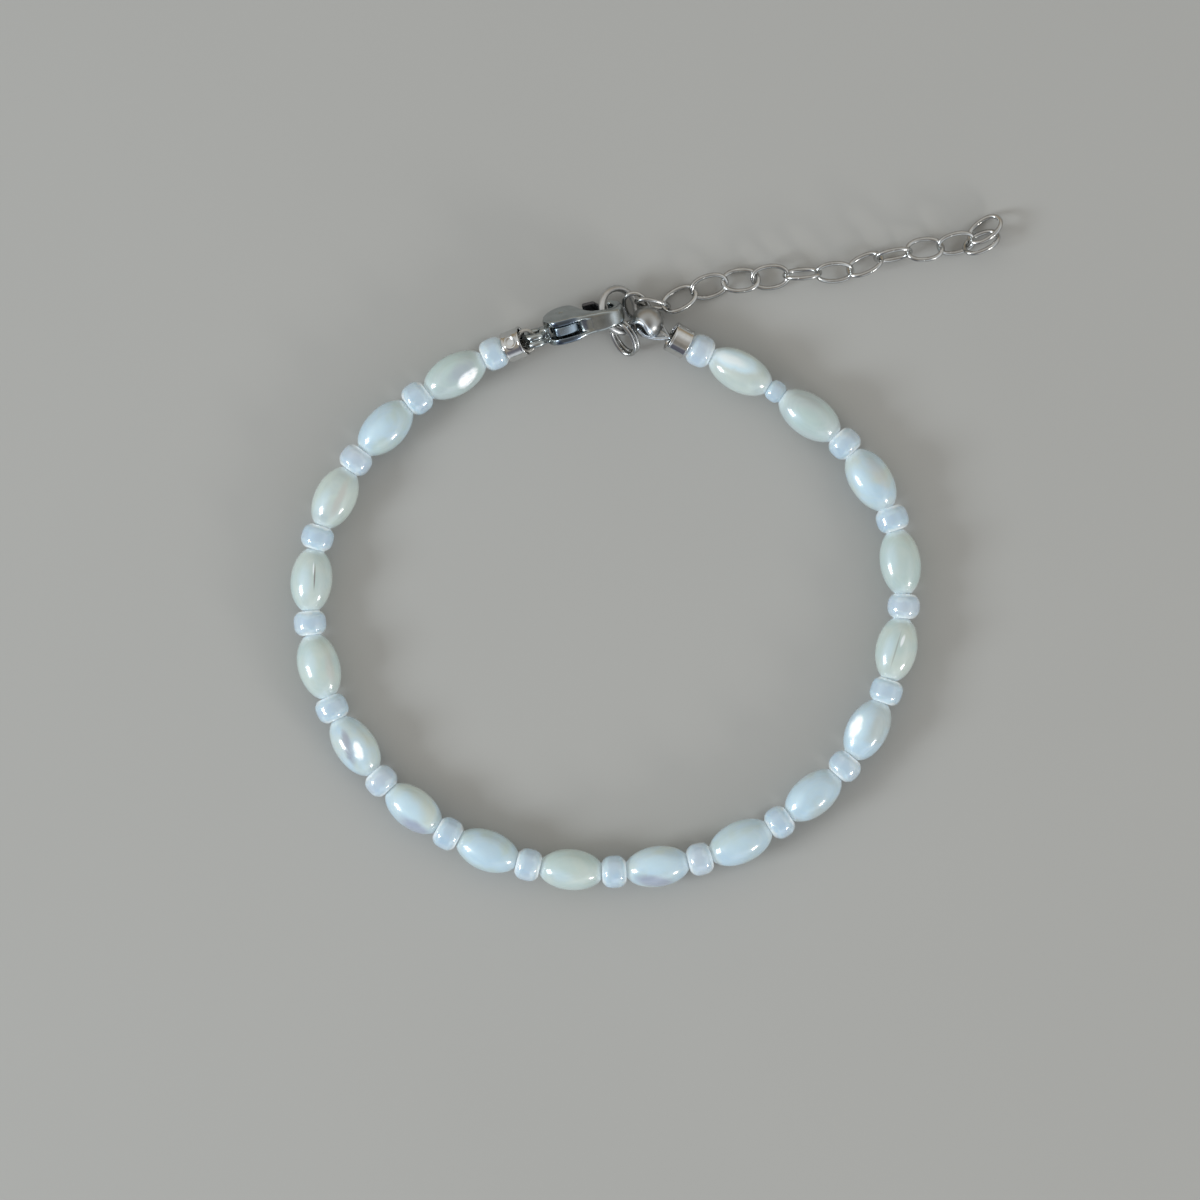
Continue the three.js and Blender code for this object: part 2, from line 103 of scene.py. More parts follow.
class Nodes:
    """Short calls for making and joining shader nodes; each gives the new node's output."""

    def __init__(self, tree):
        self.tree = tree

    def fill(self, node, sockets):
        for key, value in sockets.items():
            if isinstance(value, bpy.types.NodeSocket):
                self.tree.links.new(value, node.inputs[key])
            else:
                node.inputs[key].default_value = value

    def add(self, kind, sockets, output=0, **settings):
        node = self.tree.nodes.new("ShaderNode" + kind)
        for key, value in settings.items():
            setattr(node, key, value)
        self.fill(node, sockets)
        return node.outputs[output]

    def maths(self, operation, a, b=0.0):
        return self.add("Math", {0: a, 1: b}, operation=operation)

    def vectors(self, operation, sockets, output=0):
        return self.add("VectorMath", sockets, output, operation=operation)

    def axis(self, vector, index):
        return self.add("SeparateXYZ", {0: vector}, index)

    def coordinates(self, kind):
        return self.add("TexCoord", {}, kind)

    def mix(self, factor, a, b, blend="MIX"):
        a, b = (c if isinstance(c, bpy.types.NodeSocket) else (*c, 1) for c in (a, b))
        return self.add("Mix", {0: factor, 6: a, 7: b}, 2, data_type="RGBA", blend_type=blend)

    def span(self, value, low, high, to_low=0.0, to_high=1.0):
        """A smooth step from one value to another as the input goes from low to high."""
        return self.add("MapRange", {
            "Value": value, "From Min": low, "From Max": high, "To Min": to_low, "To Max": to_high,
        }, interpolation_type="SMOOTHSTEP")

    def noise(self, vector, scale, detail=2.0, roughness=0.5, distortion=0.0, output="Fac"):
        return self.add("TexNoise", {
            "Vector": vector, "Scale": scale, "Detail": detail, "Roughness": roughness,
            "Distortion": distortion,
        }, output)

    def place(self, vector, location=(0, 0, 0), rotation=(0, 0, 0), scale=(1, 1, 1), kind="POINT"):
        return self.add("Mapping", {
            "Vector": vector, "Location": location, "Rotation": rotation, "Scale": scale,
        }, vector_type=kind)

    def bump(self, shader, strength, depth, height):
        """Small relief on a shader's surface, with its depth in metres."""
        relief = self.add("Bump", {"Strength": strength, "Distance": depth, "Height": height})
        self.fill(shader, {"Normal": relief})


def new_material(name):
    """A material, its nodes and shader, and the object's own coordinates in millimetres."""
    material = bpy.data.materials.new(name)
    material.use_nodes = True
    nodes = Nodes(material.node_tree)
    shader = material.node_tree.nodes["Principled BSDF"]
    in_mm = nodes.place(nodes.coordinates("Object"), scale=(1 / MM, 1 / MM, 1 / MM))
    return material, nodes, shader, in_mm


# ---- room and floor

# Soft patches of the room: the way to each, where its edge starts and ends (as a cosine),
# its strength and its colour. Overhead is the viewer's own dark shape.
SKY_PATCHES = (
    ((0.05, -0.26, 0.964), 0.62, 0.99, 0.9, (0.30, 0.275, 0.24)),
    ((-0.228, -0.41, 0.883), 0.86, 0.99, 0.7, (0.34, 0.285, 0.215)),
    ((0.17, -0.60, 0.78), 0.90, 0.99, 0.6, (0.17, 0.165, 0.16)),
    ((-0.449, -0.811, 0.375), 0.86, 0.95, 0.95, (0.09, 0.09, 0.12)),
)
WALLS = ((0.34, 0.27, 0.18), (0.60, 0.63, 0.66))
CEILINGS = ((0.62, 0.61, 0.58), (0.98, 1.03, 1.08))
ROOM_STRENGTH = 1.1

FLOOR_SIZE = 1.6
FLOOR_STEPS = 24
FLOOR_TONES = ((0.45, 0.452, 0.44), (0.475, 0.477, 0.464))


def build_world():
    world = bpy.data.worlds.new("studio")
    world.use_nodes = True
    nodes = Nodes(world.node_tree)
    background = world.node_tree.nodes["Background"]
    way = nodes.coordinates("Generated")
    low_side = nodes.span(nodes.axis(way, 1), -0.75, 0.75, 1.0, 0.0)
    wall = nodes.mix(low_side, *WALLS)
    ceiling = nodes.mix(low_side, *CEILINGS)
    colour = nodes.mix(nodes.span(nodes.axis(way, 2), 0.1, 0.55), wall, ceiling)
    for middle, low, high, strength, tone in SKY_PATCHES:
        towards = nodes.vectors("DOT_PRODUCT", {0: way, 1: middle}, "Value")
        colour = nodes.mix(nodes.span(towards, low, high, 0.0, strength), colour, tone)
    nodes.fill(background, {"Color": colour, "Strength": ROOM_STRENGTH})
    bpy.context.scene.world = world


def build_floor():
    ticks = np.linspace(-FLOOR_SIZE / 2, FLOOR_SIZE / 2, FLOOR_STEPS + 1)
    verts = [(VIEW_CENTRE[0] + x, VIEW_CENTRE[1] + y, 0.0) for y in ticks for x in ticks]
    row = FLOOR_STEPS + 1
    faces = [(j * row + i, j * row + i + 1, (j + 1) * row + i + 1, (j + 1) * row + i)
             for j in range(FLOOR_STEPS) for i in range(FLOOR_STEPS)]
    mesh = bpy.data.meshes.new("floor")
    mesh.from_pydata(verts, [], faces)
    floor = bpy.data.objects.new("floor", mesh)
    bpy.context.scene.collection.objects.link(floor)
    material, nodes, shader, in_mm = new_material("floor_pale")
    nodes.fill(shader, {
        "Base Color": nodes.mix(nodes.noise(in_mm, 0.02, 3), *FLOOR_TONES),
        "Roughness": 0.85, "Specular IOR Level": 0.25,
    })
    mesh.materials.append(material)


build_world()
build_floor()

# ---- mesh helpers (millimetres)


def piece(node, name, shape, material, place, body="bracelet"):
    """A CAD node's finer mesh, from points and faces in its own frame, all in millimetres."""
    points, faces = shape
    mesh = bpy.data.meshes.new(name)
    mesh.from_pydata((np.asarray(points, float) * MM).tolist(), [], faces)
    mesh.validate()
    mesh.update()
    mesh.polygons.foreach_set("use_smooth", [True] * len(mesh.polygons))
    mesh.materials.append(material)
    made = bpy.data.objects.new(name, mesh)
    bpy.context.scene.collection.objects.link(made)
    placed = place.copy()
    placed.translation = place.translation * MM
    made.matrix_world = placed
    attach(made, body)
    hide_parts(node)
    return made


def frame_of(point, along, across):
    """A frame at a point: x along one way, y as near as it can be to another."""
    x = Vector(along).normalized()
    z = x.cross(Vector(across)).normalized()
    y = z.cross(x)
    matrix = Matrix((x, y, z)).transposed().to_4x4()
    matrix.translation = Vector(point)
    return matrix


def band_faces(bands, rings, sides):
    """Quads between each ring of points and the next; after the last ring comes the first."""
    return [(i * sides + j, i * sides + (j + 1) % sides,
             (i + 1) % rings * sides + (j + 1) % sides, (i + 1) % rings * sides + j)
            for i in range(bands) for j in range(sides)]


def lathe(profile, sides, reshape=None):
    """Points and faces of a body turned about X, from a closed profile of (radius, place)."""
    profile = np.asarray(profile, float)
    turn = np.linspace(0, 2 * math.pi, sides, endpoint=False)
    radius, along = profile[:, :1], profile[:, 1:]
    points = np.stack([np.repeat(along, sides, 1), radius * np.cos(turn), radius * np.sin(turn)], -1)
    if reshape is not None:
        points = reshape(points)
    return points.reshape(-1, 3), band_faces(len(profile), len(profile), sides)


# How a tube's end closes: each extra ring's place, as a part of the easing, and its size.
TUBE_END = ((0.82, 0.88), (1.0, 0.65), (1.0, 0.02))


def tube(path, radius, sides):
    """Points and faces of a round tube along an open path, with eased ends."""
    path = np.asarray(path, float)
    ahead = np.gradient(path, axis=0)
    ahead /= np.linalg.norm(ahead, axis=1, keepdims=True)
    side = np.cross(ahead[0], (0.31, 0.52, 0.8))
    side /= np.linalg.norm(side)
    angles = np.linspace(0, 2 * math.pi, sides, endpoint=False)[:, None]
    rings = []
    for point, way in zip(path, ahead):
        side = side - way * np.dot(side, way)
        side /= np.linalg.norm(side)
        rings.append(point + radius * (np.cos(angles) * side + np.sin(angles) * np.cross(way, side)))
    ease = min(radius * 0.35, 0.12)
    for end, way in ((0, -1), (-1, 1)):
        rim, step = rings[end] - path[end], ahead[end] * way * ease
        closing = [path[end] + step * rise + rim * shrink for rise, shrink in TUBE_END]
        rings = rings + closing if end else closing[::-1] + rings
    total = len(rings)
    faces = band_faces(total - 1, total, sides)
    faces.append(tuple(range(sides))[::-1])
    faces.append(tuple(range((total - 1) * sides, total * sides)))
    return np.concatenate(rings), faces


def merge(parts):
    """Several (points, faces) as one."""
    points, faces, start = [], [], 0
    for part_points, part_faces in parts:
        points.append(np.asarray(part_points, float))
        faces += [tuple(i + start for i in face) for face in part_faces]
        start += len(part_points)
    return np.concatenate(points), faces


def centred_piece(node, name, parts, material):
    """A piece given in the whole object's frame and kept about its own middle."""
    points, faces = merge(parts)
    middle = (points.min(0) + points.max(0)) / 2
    piece(node, name, (points - middle, faces), material, Matrix.Translation(Vector(middle)))


# ---- solids from distance fields


def relax(points, faces, rounds, amount):
    """Evens out a skin's points a little, which takes the grid's steps off it."""
    point, neighbour = np.concatenate([faces[:, [k, (k + 1) % 4]] for k in range(4)]).T
    count = np.bincount(point)[:, None]
    for _ in range(rounds):
        total = np.zeros_like(points)
        np.add.at(total, point, points[neighbour])
        points = points + amount * (total / count - points)
    return points


def skin(field, low, step, rounds, amount):
    """Points and faces of a closed surface through the zero level of a grid of distances."""
    cells = tuple(n - 1 for n in field.shape)
    total, count, quads = np.zeros(cells + (3,)), np.zeros(cells), []
    for axis in range(3):
        a, b = (np.take(field, range(k, k + cells[axis]), axis) for k in (0, 1))
        cross = (a < 0) != (b < 0)
        grid = np.indices(a.shape).astype(float)
        grid[axis] += np.where(cross, a / np.where(cross, a - b, 1.0), 0.0)
        others = [k for k in range(3) if k != axis]
        for corner in np.ndindex(2, 2):
            window = [slice(None)] * 3
            for k, first in zip(others, corner):
                window[k] = slice(first, first + cells[k])
            window = tuple(window)
            count += cross[window]
            for k in range(3):
                total[..., k] += np.where(cross[window], grid[k][window], 0.0)
        quads.append((axis, others, np.argwhere(cross), a[cross] < 0))
    used = count > 0
    index = -np.ones(cells, int)
    index[used] = np.arange(used.sum())
    points = total[used] / count[used][:, None] * step + np.asarray(low)
    faces = []
    for axis, others, edges, outward in quads:
        inner = np.all([(edges[:, k] > 0) & (edges[:, k] < cells[k]) for k in others], 0)
        edges, outward = edges[inner], outward[inner]
        corners = []
        for back in ((1, 1), (0, 1), (0, 0), (1, 0)):
            cell = edges.copy()
            cell[:, others] -= back
            corners.append(index[tuple(cell.T)])
        corners = np.stack(corners, 1)
        flip = outward if axis == 1 else ~outward
        corners[flip] = corners[flip][:, ::-1]
        faces.append(corners)
    faces = np.concatenate(faces)
    return relax(points, faces, rounds, amount), faces.tolist()


def grid_points(low, high, step):
    axes = [np.arange(a, b + step, step) for a, b in zip(low, high)]
    return np.meshgrid(*axes, indexing="ij")


def bezier(start, c1, c2, end, steps=14):
    t = np.linspace(0, 1, steps + 1)[1:, None]
    start, c1, c2, end = (np.asarray(p, float) for p in (start, c1, c2, end))
    return (1 - t) ** 3 * start + 3 * (1 - t) ** 2 * t * c1 + 3 * (1 - t) * t ** 2 * c2 + t ** 3 * end


def outline(start, *strokes):
    """A closed outline: a stroke is three points for a curve, or any other number for lines."""
    points = [np.asarray(start, float)[None]]
    for stroke in strokes:
        last = points[-1][-1]
        points.append(bezier(last, *stroke) if len(stroke) == 3 else np.asarray(stroke, float))
    return np.concatenate(points)


def flat_distance(polygon, x, y):
    """Signed distance from a grid's columns to a closed outline, negative inside."""
    x, y = x[:, :, 0], y[:, :, 0]
    best = np.full(x.shape, 1e9)
    inside = np.zeros(x.shape, bool)
    for a, b in zip(polygon, np.roll(polygon, -1, 0)):
        if np.allclose(a, b):
            continue
        off = from_segment(np.stack([x, y], -1), a, b)
        best = np.minimum(best, np.linalg.norm(off, axis=-1))
        crosses = (a[1] > y) != (b[1] > y)
        at = a[0] + (y - a[1]) / np.where(crosses, b[1] - a[1], 1) * (b[0] - a[0])
        inside ^= crosses & (x < at)
    return np.where(inside, -best, best)[..., None]


def box_distance(x, y, low, high):
    dx = np.abs(x - (low[0] + high[0]) / 2) - (high[0] - low[0]) / 2
    dy = np.abs(y - (low[1] + high[1]) / 2) - (high[1] - low[1]) / 2
    return corner_distance(dx, dy)


def from_segment(p, a, b):
    """The way to each point from the nearest place on the line from a to b."""
    a, b = np.asarray(a, float), np.asarray(b, float)
    ahead = b - a
    part = np.clip(((p - a) @ ahead) / (ahead @ ahead), 0, 1)
    return p - (a + part[..., None] * ahead)


def corner_distance(a, b):
    return np.minimum(np.maximum(a, b), 0) + np.hypot(np.maximum(a, 0), np.maximum(b, 0))


def rounded(flat, height, ease):
    """Joins a distance in the plane with one across it, rounding their common edge."""
    return corner_distance(flat + ease, height + ease) - ease


def plate(flat, z, half, ease):
    """A shape in the plane, as thick as twice half and with its edges rounded."""
    return rounded(flat, np.abs(z) - half, ease)


def join(a, b, blend):
    part = np.clip(0.5 + 0.5 * (b - a) / blend, 0, 1)
    return b + (a - b) * part - blend * part * (1 - part)


def cut(a, b, blend):
    return -join(-a, b, blend)


def step_between(value, low, high):
    part = np.clip((value - low) / (high - low), 0, 1)
    return part * part * (3 - 2 * part)


# ---- metals

# Painted shade and dark reflection on the clasp's cheek tops.
CHEEK_SHADE_STEEL = (0.15, 0.185, 0.235)
# A painted bright bluish highlight on the bead tip's rims.
RIM_HIGHLIGHT_STEEL = (0.80, 0.88, 0.97)
# Painted shade, nearly black, on the lever's gate.
GATE_SHADE_STEEL = (0.12, 0.12, 0.13)
CHROME_TONES = ((0.60, 0.61, 0.61), (0.74, 0.74, 0.73))
COATING_TONES = ((0.48, 0.47, 0.44), (0.62, 0.61, 0.58))
# Where the clasp's cheeks begin and end along it, and where its lever's gate begins, in mm.
CHEEK_LEFT, CHEEK_RIGHT = (-4.5, -4.1), (-1.4, -0.7)
GATE_START = (-1.0, -0.4)


def steel(name, base, rough, brushed=0.1, paint_light=None):
    """Stainless steel: fine rubbing marks, cloudy wear, and painted light or shade on one part of it."""
    material, nodes, shader, in_mm = new_material(name)
    cloud = nodes.noise(in_mm, 0.9, 4, 0.6)
    grain = nodes.noise(nodes.place(in_mm, rotation=(0.3, 0.2, 0.5), scale=(1.2, 14, 14)), 1.6, 3, 0.65)
    rub = nodes.span(grain, 0.35, 0.7)
    dark = tuple(c * 0.86 for c in base)
    light = tuple(min(1.0, c * 1.06) for c in base)
    colour = nodes.mix(nodes.span(cloud, 0.35, 0.7), dark, light)
    roughness = nodes.span(cloud, 0.3, 0.75, rough * 0.8, rough * 1.25)
    roughness = nodes.maths("ADD", roughness, nodes.maths("MULTIPLY", rub, 0.05))
    if paint_light:
        colour, roughness = paint_light(nodes, in_mm, colour, roughness)
    nodes.fill(shader, {"Base Color": colour, "Roughness": roughness, "Metallic": 1.0})
    nodes.bump(shader, brushed, 0.000006, rub)
    return material


def shade_cheek_tops(nodes, in_mm, colour, roughness):
    """The tops of the cast body's two cheeks are painted darker and bluer: painted shade and dark reflection.
    """
    along = nodes.axis(in_mm, 0)
    facing_up = nodes.axis(nodes.coordinates("Normal"), 1)
    on_cheek = nodes.maths("MULTIPLY", nodes.span(along, *CHEEK_RIGHT, 1.0, 0.0),
                           nodes.span(along, *CHEEK_LEFT))
    painted_shade = nodes.maths("MULTIPLY", nodes.span(facing_up, 0.6, 0.92), on_cheek)
    return nodes.mix(painted_shade, colour, CHEEK_SHADE_STEEL), roughness


def highlight_rims(nodes, in_mm, colour, roughness):
    """The bead tip's rims are rubbed smoother, and painted bright bluish as a painted highlight (the mesh's
    own rim values).
    """
    rim_highlight = nodes.add("Attribute", {}, "Fac", attribute_name="rim")
    smoother = nodes.maths("SUBTRACT", roughness, nodes.maths("MULTIPLY", rim_highlight, 0.12))
    return nodes.mix(rim_highlight, colour, RIM_HIGHLIGHT_STEEL), smoother


def shade_gate(nodes, in_mm, colour, roughness):
    """The lever's gate is painted nearly black: painted shade and dark reflection where it sits under the
    hook.
    """
    on_gate = nodes.span(nodes.axis(in_mm, 0), *GATE_START)
    return nodes.mix(on_gate, colour, GATE_SHADE_STEEL), roughness


def chrome(name):
    """Mirror-bright steel with a little smear and fine turning lines."""
    material, nodes, shader, in_mm = new_material(name)
    smear = nodes.noise(in_mm, 0.8, 4, 0.6)
    line = nodes.noise(nodes.place(in_mm, rotation=(0, 0, 0.4), scale=(3, 26, 26)), 1.0, 2, 0.6)
    nodes.fill(shader, {
        "Base Color": nodes.mix(nodes.span(smear, 0.3, 0.75), *CHROME_TONES),
        "Roughness": nodes.span(smear, 0.35, 0.8, 0.05, 0.13),
        "Metallic": 1.0,
    })
    nodes.bump(shader, 0.25, 0.000003, line)
    return material


def wire_coating(name):
    """Nylon-coated wire, with its strands just showing."""
    material, nodes, shader, in_mm = new_material(name)
    cloud = nodes.noise(in_mm, 1.5, 3)
    nodes.fill(shader, {
        "Base Color": nodes.mix(cloud, *COATING_TONES),
        "Roughness": nodes.span(cloud, 0.3, 0.7, 0.25, 0.4),
        "Metallic": 0.6,
    })
    strands = nodes.add("TexWave", {"Vector": in_mm, "Scale": 2.2, "Distortion": 0.6}, "Fac")
    nodes.bump(shader, 0.4, 0.00002, strands)
    return material


CAP_FINISH = chrome("polished_steel")
CLASP_FINISH = steel("clasp_steel", (0.42, 0.455, 0.46), 0.16, paint_light=shade_cheek_tops)
# The lever's bluer base colour is a painted blue reflection, as seen on its crest.
LEVER_FINISH = steel("lever_steel", (0.36, 0.445, 0.53), 0.2, paint_light=shade_gate)
CHAIN_FINISH = steel("chain_steel", (0.55, 0.555, 0.55), 0.12)
RING_FINISH = steel("ring_steel", (0.61, 0.62, 0.625), 0.34, 0.12)
TIP_FINISH = steel("tip_steel", (0.45, 0.455, 0.45), 0.34, paint_light=highlight_rims)
WIRE_FINISH = wire_coating("wire_coating")

# ---- glass and mother-of-pearl

# Painted glow (emission, no lamp) at a bead's thin ends, for light that comes through them and to lighten the
# shade between beads: where it starts and is full, in mm from the bead's middle, and its strength.
SEED_GLOW = (0.88, 1.1, 0.13)
OVAL_GLOW = (2.85, 3.2, 0.12)
GLOW_COLOUR = (0.88, 0.95, 1.0, 1)
# How far light goes into a bead, in metres.
DEPTH = 0.0007
SEED_TINTS = ((0.62, 0.805, 0.92), (0.67, 0.825, 0.91), (0.61, 0.815, 0.94), (0.67, 0.805, 0.90))
# Painted lighter ends of the seed beads, for light that comes through them, which also lightens the shade
# between beads.
SEED_ENDS = (0.80, 0.88, 0.935)
# How much greyer a seed bead's middle is: painted shade where the dark hole shows through.
SEED_CORE = (0.82, 0.83, 0.86)
SEED_TINGES = ((0.52, 0.75, 0.97), (0.66, 0.76, 0.86))
LAYER_COLOUR = (0.80, 0.85, 0.82)
# A painted lighter colour at the oval beads' thin ends, for light that comes through them.
OVAL_ENDS = (0.72, 0.83, 0.87)


# Paints the glow at a bead's ends as emission, though no lamp is there.
def paint_glow_at_ends(nodes, shader, along, glow, more=0.0):
    start, full, strength = glow
    through = nodes.span(nodes.maths("ABSOLUTE", along), start, full, 0.0, strength)
    strength_there = nodes.maths("ADD", through, more)
    nodes.fill(shader, {"Emission Color": GLOW_COLOUR, "Emission Strength": strength_there})


def lustre_glass(name, tint, offset):
    """White lustre glass: a milky body, painted greyer in the middle as shade where the dark hole shows
    through, painted lighter, glowing ends, and a pearly coat.
    """
    material, nodes, shader, in_mm = new_material(name)
    shifted = nodes.place(in_mm, location=offset)
    cloud = nodes.noise(shifted, 0.7, 3, 0.55, 0.4)
    sheen = nodes.noise(shifted, 0.35, 2)
    body = nodes.mix(nodes.span(cloud, 0.35, 0.68), tuple(c * 0.9 for c in tint), tint)
    along = nodes.axis(in_mm, 0)
    waver = nodes.maths("MULTIPLY", nodes.maths("SUBTRACT", cloud, 0.5), 1.3)
    from_middle = nodes.maths("ABSOLUTE", nodes.maths("ADD", along, waver))
    core = tuple(c * k for c, k in zip(tint, SEED_CORE))
    body = nodes.mix(nodes.span(from_middle, 0.34, 0.62), core, body)
    body = nodes.mix(0.3, body, nodes.mix(nodes.span(sheen, 0.40, 0.64), *SEED_TINGES))
    nodes.fill(shader, {
        "Base Color": nodes.mix(nodes.span(from_middle, 0.75, 1.2), body, SEED_ENDS),
        "Roughness": nodes.span(cloud, 0.3, 0.75, 0.05, 0.12),
        "IOR": 1.75,
        "Subsurface Weight": 0.5, "Subsurface Radius": (1.0, 1.0, 1.1), "Subsurface Scale": DEPTH,
        "Coat Weight": 1.0, "Coat IOR": 1.7, "Coat Roughness": 0.03,
    })
    paint_glow_at_ends(nodes, shader, along, SEED_GLOW)
    nodes.bump(shader, 0.5, 0.00003, nodes.noise(shifted, 1.6, 2))
    return material


CREAM = (0.62, 0.725, 0.69)
GREEN = (0.54, 0.685, 0.68)
GREY = (0.525, 0.63, 0.645)
BLUE = (0.54, 0.73, 0.86)
# Each kind of mark: its colour, and how strongly it shines by itself as painted glow.
MARKS = {
    # The first three marks here and the white one are painted highlights, sheen and reflections where the
    # nacre layers catch the light; the brighter ones also shine as painted glow.
    "flash": ((0.98, 0.99, 1.0), 0.42),
    "glow": ((0.635, 0.84, 0.98), 0.0),
    "painted_sheen": ((0.66, 0.87, 1.0), 0.07),
    # These two are painted darker, bluish iridescent shade of the nacre layers.
    "lilac": ((0.41, 0.47, 0.59), 0.0),
    "streak": ((0.38, 0.42, 0.50), 0.0),
    "line": ((0.26, 0.25, 0.25), 0.0),
    "white": ((0.88, 0.96, 1.0), 0.08),
    "pink": ((0.60, 0.59, 0.56), 0.0),
}
# Each oval bead's body and shaded colours.
OVAL_COLOURS = (
    (GREY, GREEN), (GREEN, BLUE), (GREY, CREAM), (CREAM, GREEN), (CREAM, GREEN), (CREAM, BLUE),
    (CREAM, BLUE), (GREEN, BLUE), (GREEN, CREAM), (CREAM, BLUE), (GREEN, BLUE), (GREY, BLUE), (GREY, BLUE),
    (CREAM, GREEN), (CREAM, GREEN), (CREAM, BLUE), (GREY, GREEN), (GREY, CREAM),
)
# The marks on the oval beads, lower ones first: bead, kind, place along the bead and inward,
# length and width in mm, tilt in degrees, softness of the edge and strength.
OVAL_MARKS = (
    (1, "flash", -0.96, 0.9, 2.5, 1.15, 14, 0.5, 1.0),
    (1, "lilac", -0.6, 0.1, 3.4, 1.5, 5, 0.8, 0.45),
    (2, "glow", 1.0, -0.4, 3.4, 1.8, -10, 0.9, 0.8),
    (3, "pink", 0.0, 0.45, 4.6, 0.8, 3, 0.9, 0.6),
    (3, "glow", 1.0, -0.9, 3.0, 1.4, 0, 0.9, 0.4),
    (4, "line", -0.3, 0.3, 2.5, 0.16, 2, 0.7, 0.9),
    (4, "white", -1.1, 0.12, 1.3, 0.14, 3, 0.7, 1.0),
    (4, "glow", 0.3, -0.7, 3.6, 1.4, 0, 0.9, 0.4),
    (5, "pink", 0.5, 1.0, 3.2, 0.9, -4, 0.9, 0.5),
    (5, "glow", -0.4, -0.7, 3.0, 1.3, 0, 0.9, 0.35),
    (6, "streak", -0.25, -0.62, 3.7, 1.05, -17, 0.6, 0.95),
    (6, "glow", 0.6, 0.1, 3.2, 1.7, -17, 0.9, 0.9),
    (6, "flash", 0.6, 0.0, 1.9, 0.95, -17, 0.45, 1.0),
    (7, "glow", -0.5, -0.3, 4.4, 2.4, -6, 0.9, 0.9),
    (7, "lilac", 1.4, -1.45, 4.0, 1.6, 2, 0.75, 0.95),
    (8, "glow", -1.2, -0.9, 3.4, 1.8, -12, 0.9, 0.7),
    (9, "glow", -1.0, -0.6, 2.6, 1.3, -10, 0.9, 0.4),
    (10, "glow", 0.0, 0.3, 4.4, 2.2, -8, 0.9, 0.9),
    (10, "lilac", -0.4, -1.4, 4.3, 1.3, -15, 0.65, 0.95),
    (11, "glow", -0.6, 0.0, 3.8, 2.0, 0, 0.9, 0.45),
    (12, "glow", -1.9, 0.7, 2.8, 1.6, 10, 0.9, 0.9),
    (13, "glow", -0.4, 0.8, 4.8, 2.3, 6, 0.9, 1.0),
    (13, "painted_sheen", -0.35, 0.95, 3.3, 1.5, 5, 0.9, 0.75),
    (13, "flash", -0.3, 1.1, 2.4, 1.0, 4, 0.6, 1.0),
    (14, "line", -0.05, 0.05, 3.7, 0.17, -5, 0.9, 0.45),
    (14, "white", 0.9, -0.4, 1.3, 0.34, -8, 0.6, 1.0),
    (14, "glow", -0.4, 0.8, 3.4, 1.2, -5, 0.9, 0.4),
    (15, "glow", 0.5, 0.8, 3.0, 1.3, 0, 0.9, 0.3),
    (16, "pink", 0.4, -0.95, 3.8, 1.5, -4, 0.9, 0.4),
    (16, "glow", 0.3, 0.9, 4.4, 1.7, -5, 0.9, 0.85),
    (17, "glow", 1.2, 0.9, 2.4, 1.0, 0, 0.9, 0.3),
    (18, "painted_sheen", 0.95, -0.7, 5.4, 2.15, 7, 0.5, 0.95),
    (18, "white", 1.4, -0.55, 3.6, 1.2, 8, 0.9, 0.7),
)
FLECKED = ("flash", "streak")
# A mark narrower than this, in mm, is a crack, a scratch or a thin painted highlight, and keeps its edge
# straight.
THIN_MARK = 0.4
# Marks lie on the bead's top: this is the square of its radius there, in mm.
RADIUS_SQUARED = 3.6


def mark_mask(nodes, mark, straight, bent, shifted):
    """How strongly one mark covers each place of its bead."""
    _, kind, along, inward, length, width, tilt, soft, strength = mark
    top = math.sqrt(max(0.2, RADIUS_SQUARED - inward * inward))
    spot = nodes.place(straight if width < THIN_MARK else bent, (along, inward, top),
                       (0, 0, math.radians(tilt)), (length / 2, width / 2, 1.6), "TEXTURE")
    far = nodes.vectors("LENGTH", {0: spot}, "Value")
    mask = nodes.span(far, 1 - soft * 0.75, 1 + soft * 0.35, strength, 0.0)
    if kind in FLECKED:
        turned = nodes.place(shifted, rotation=(0, 0, -math.radians(tilt)), scale=(0.6, 2.2, 1))
        fleck = nodes.noise(turned, 1.6, 4, 0.65)
        mask = nodes.maths("MULTIPLY", mask, nodes.span(fleck, 0.36, 0.52, 0.5, 1.0))
    return mask


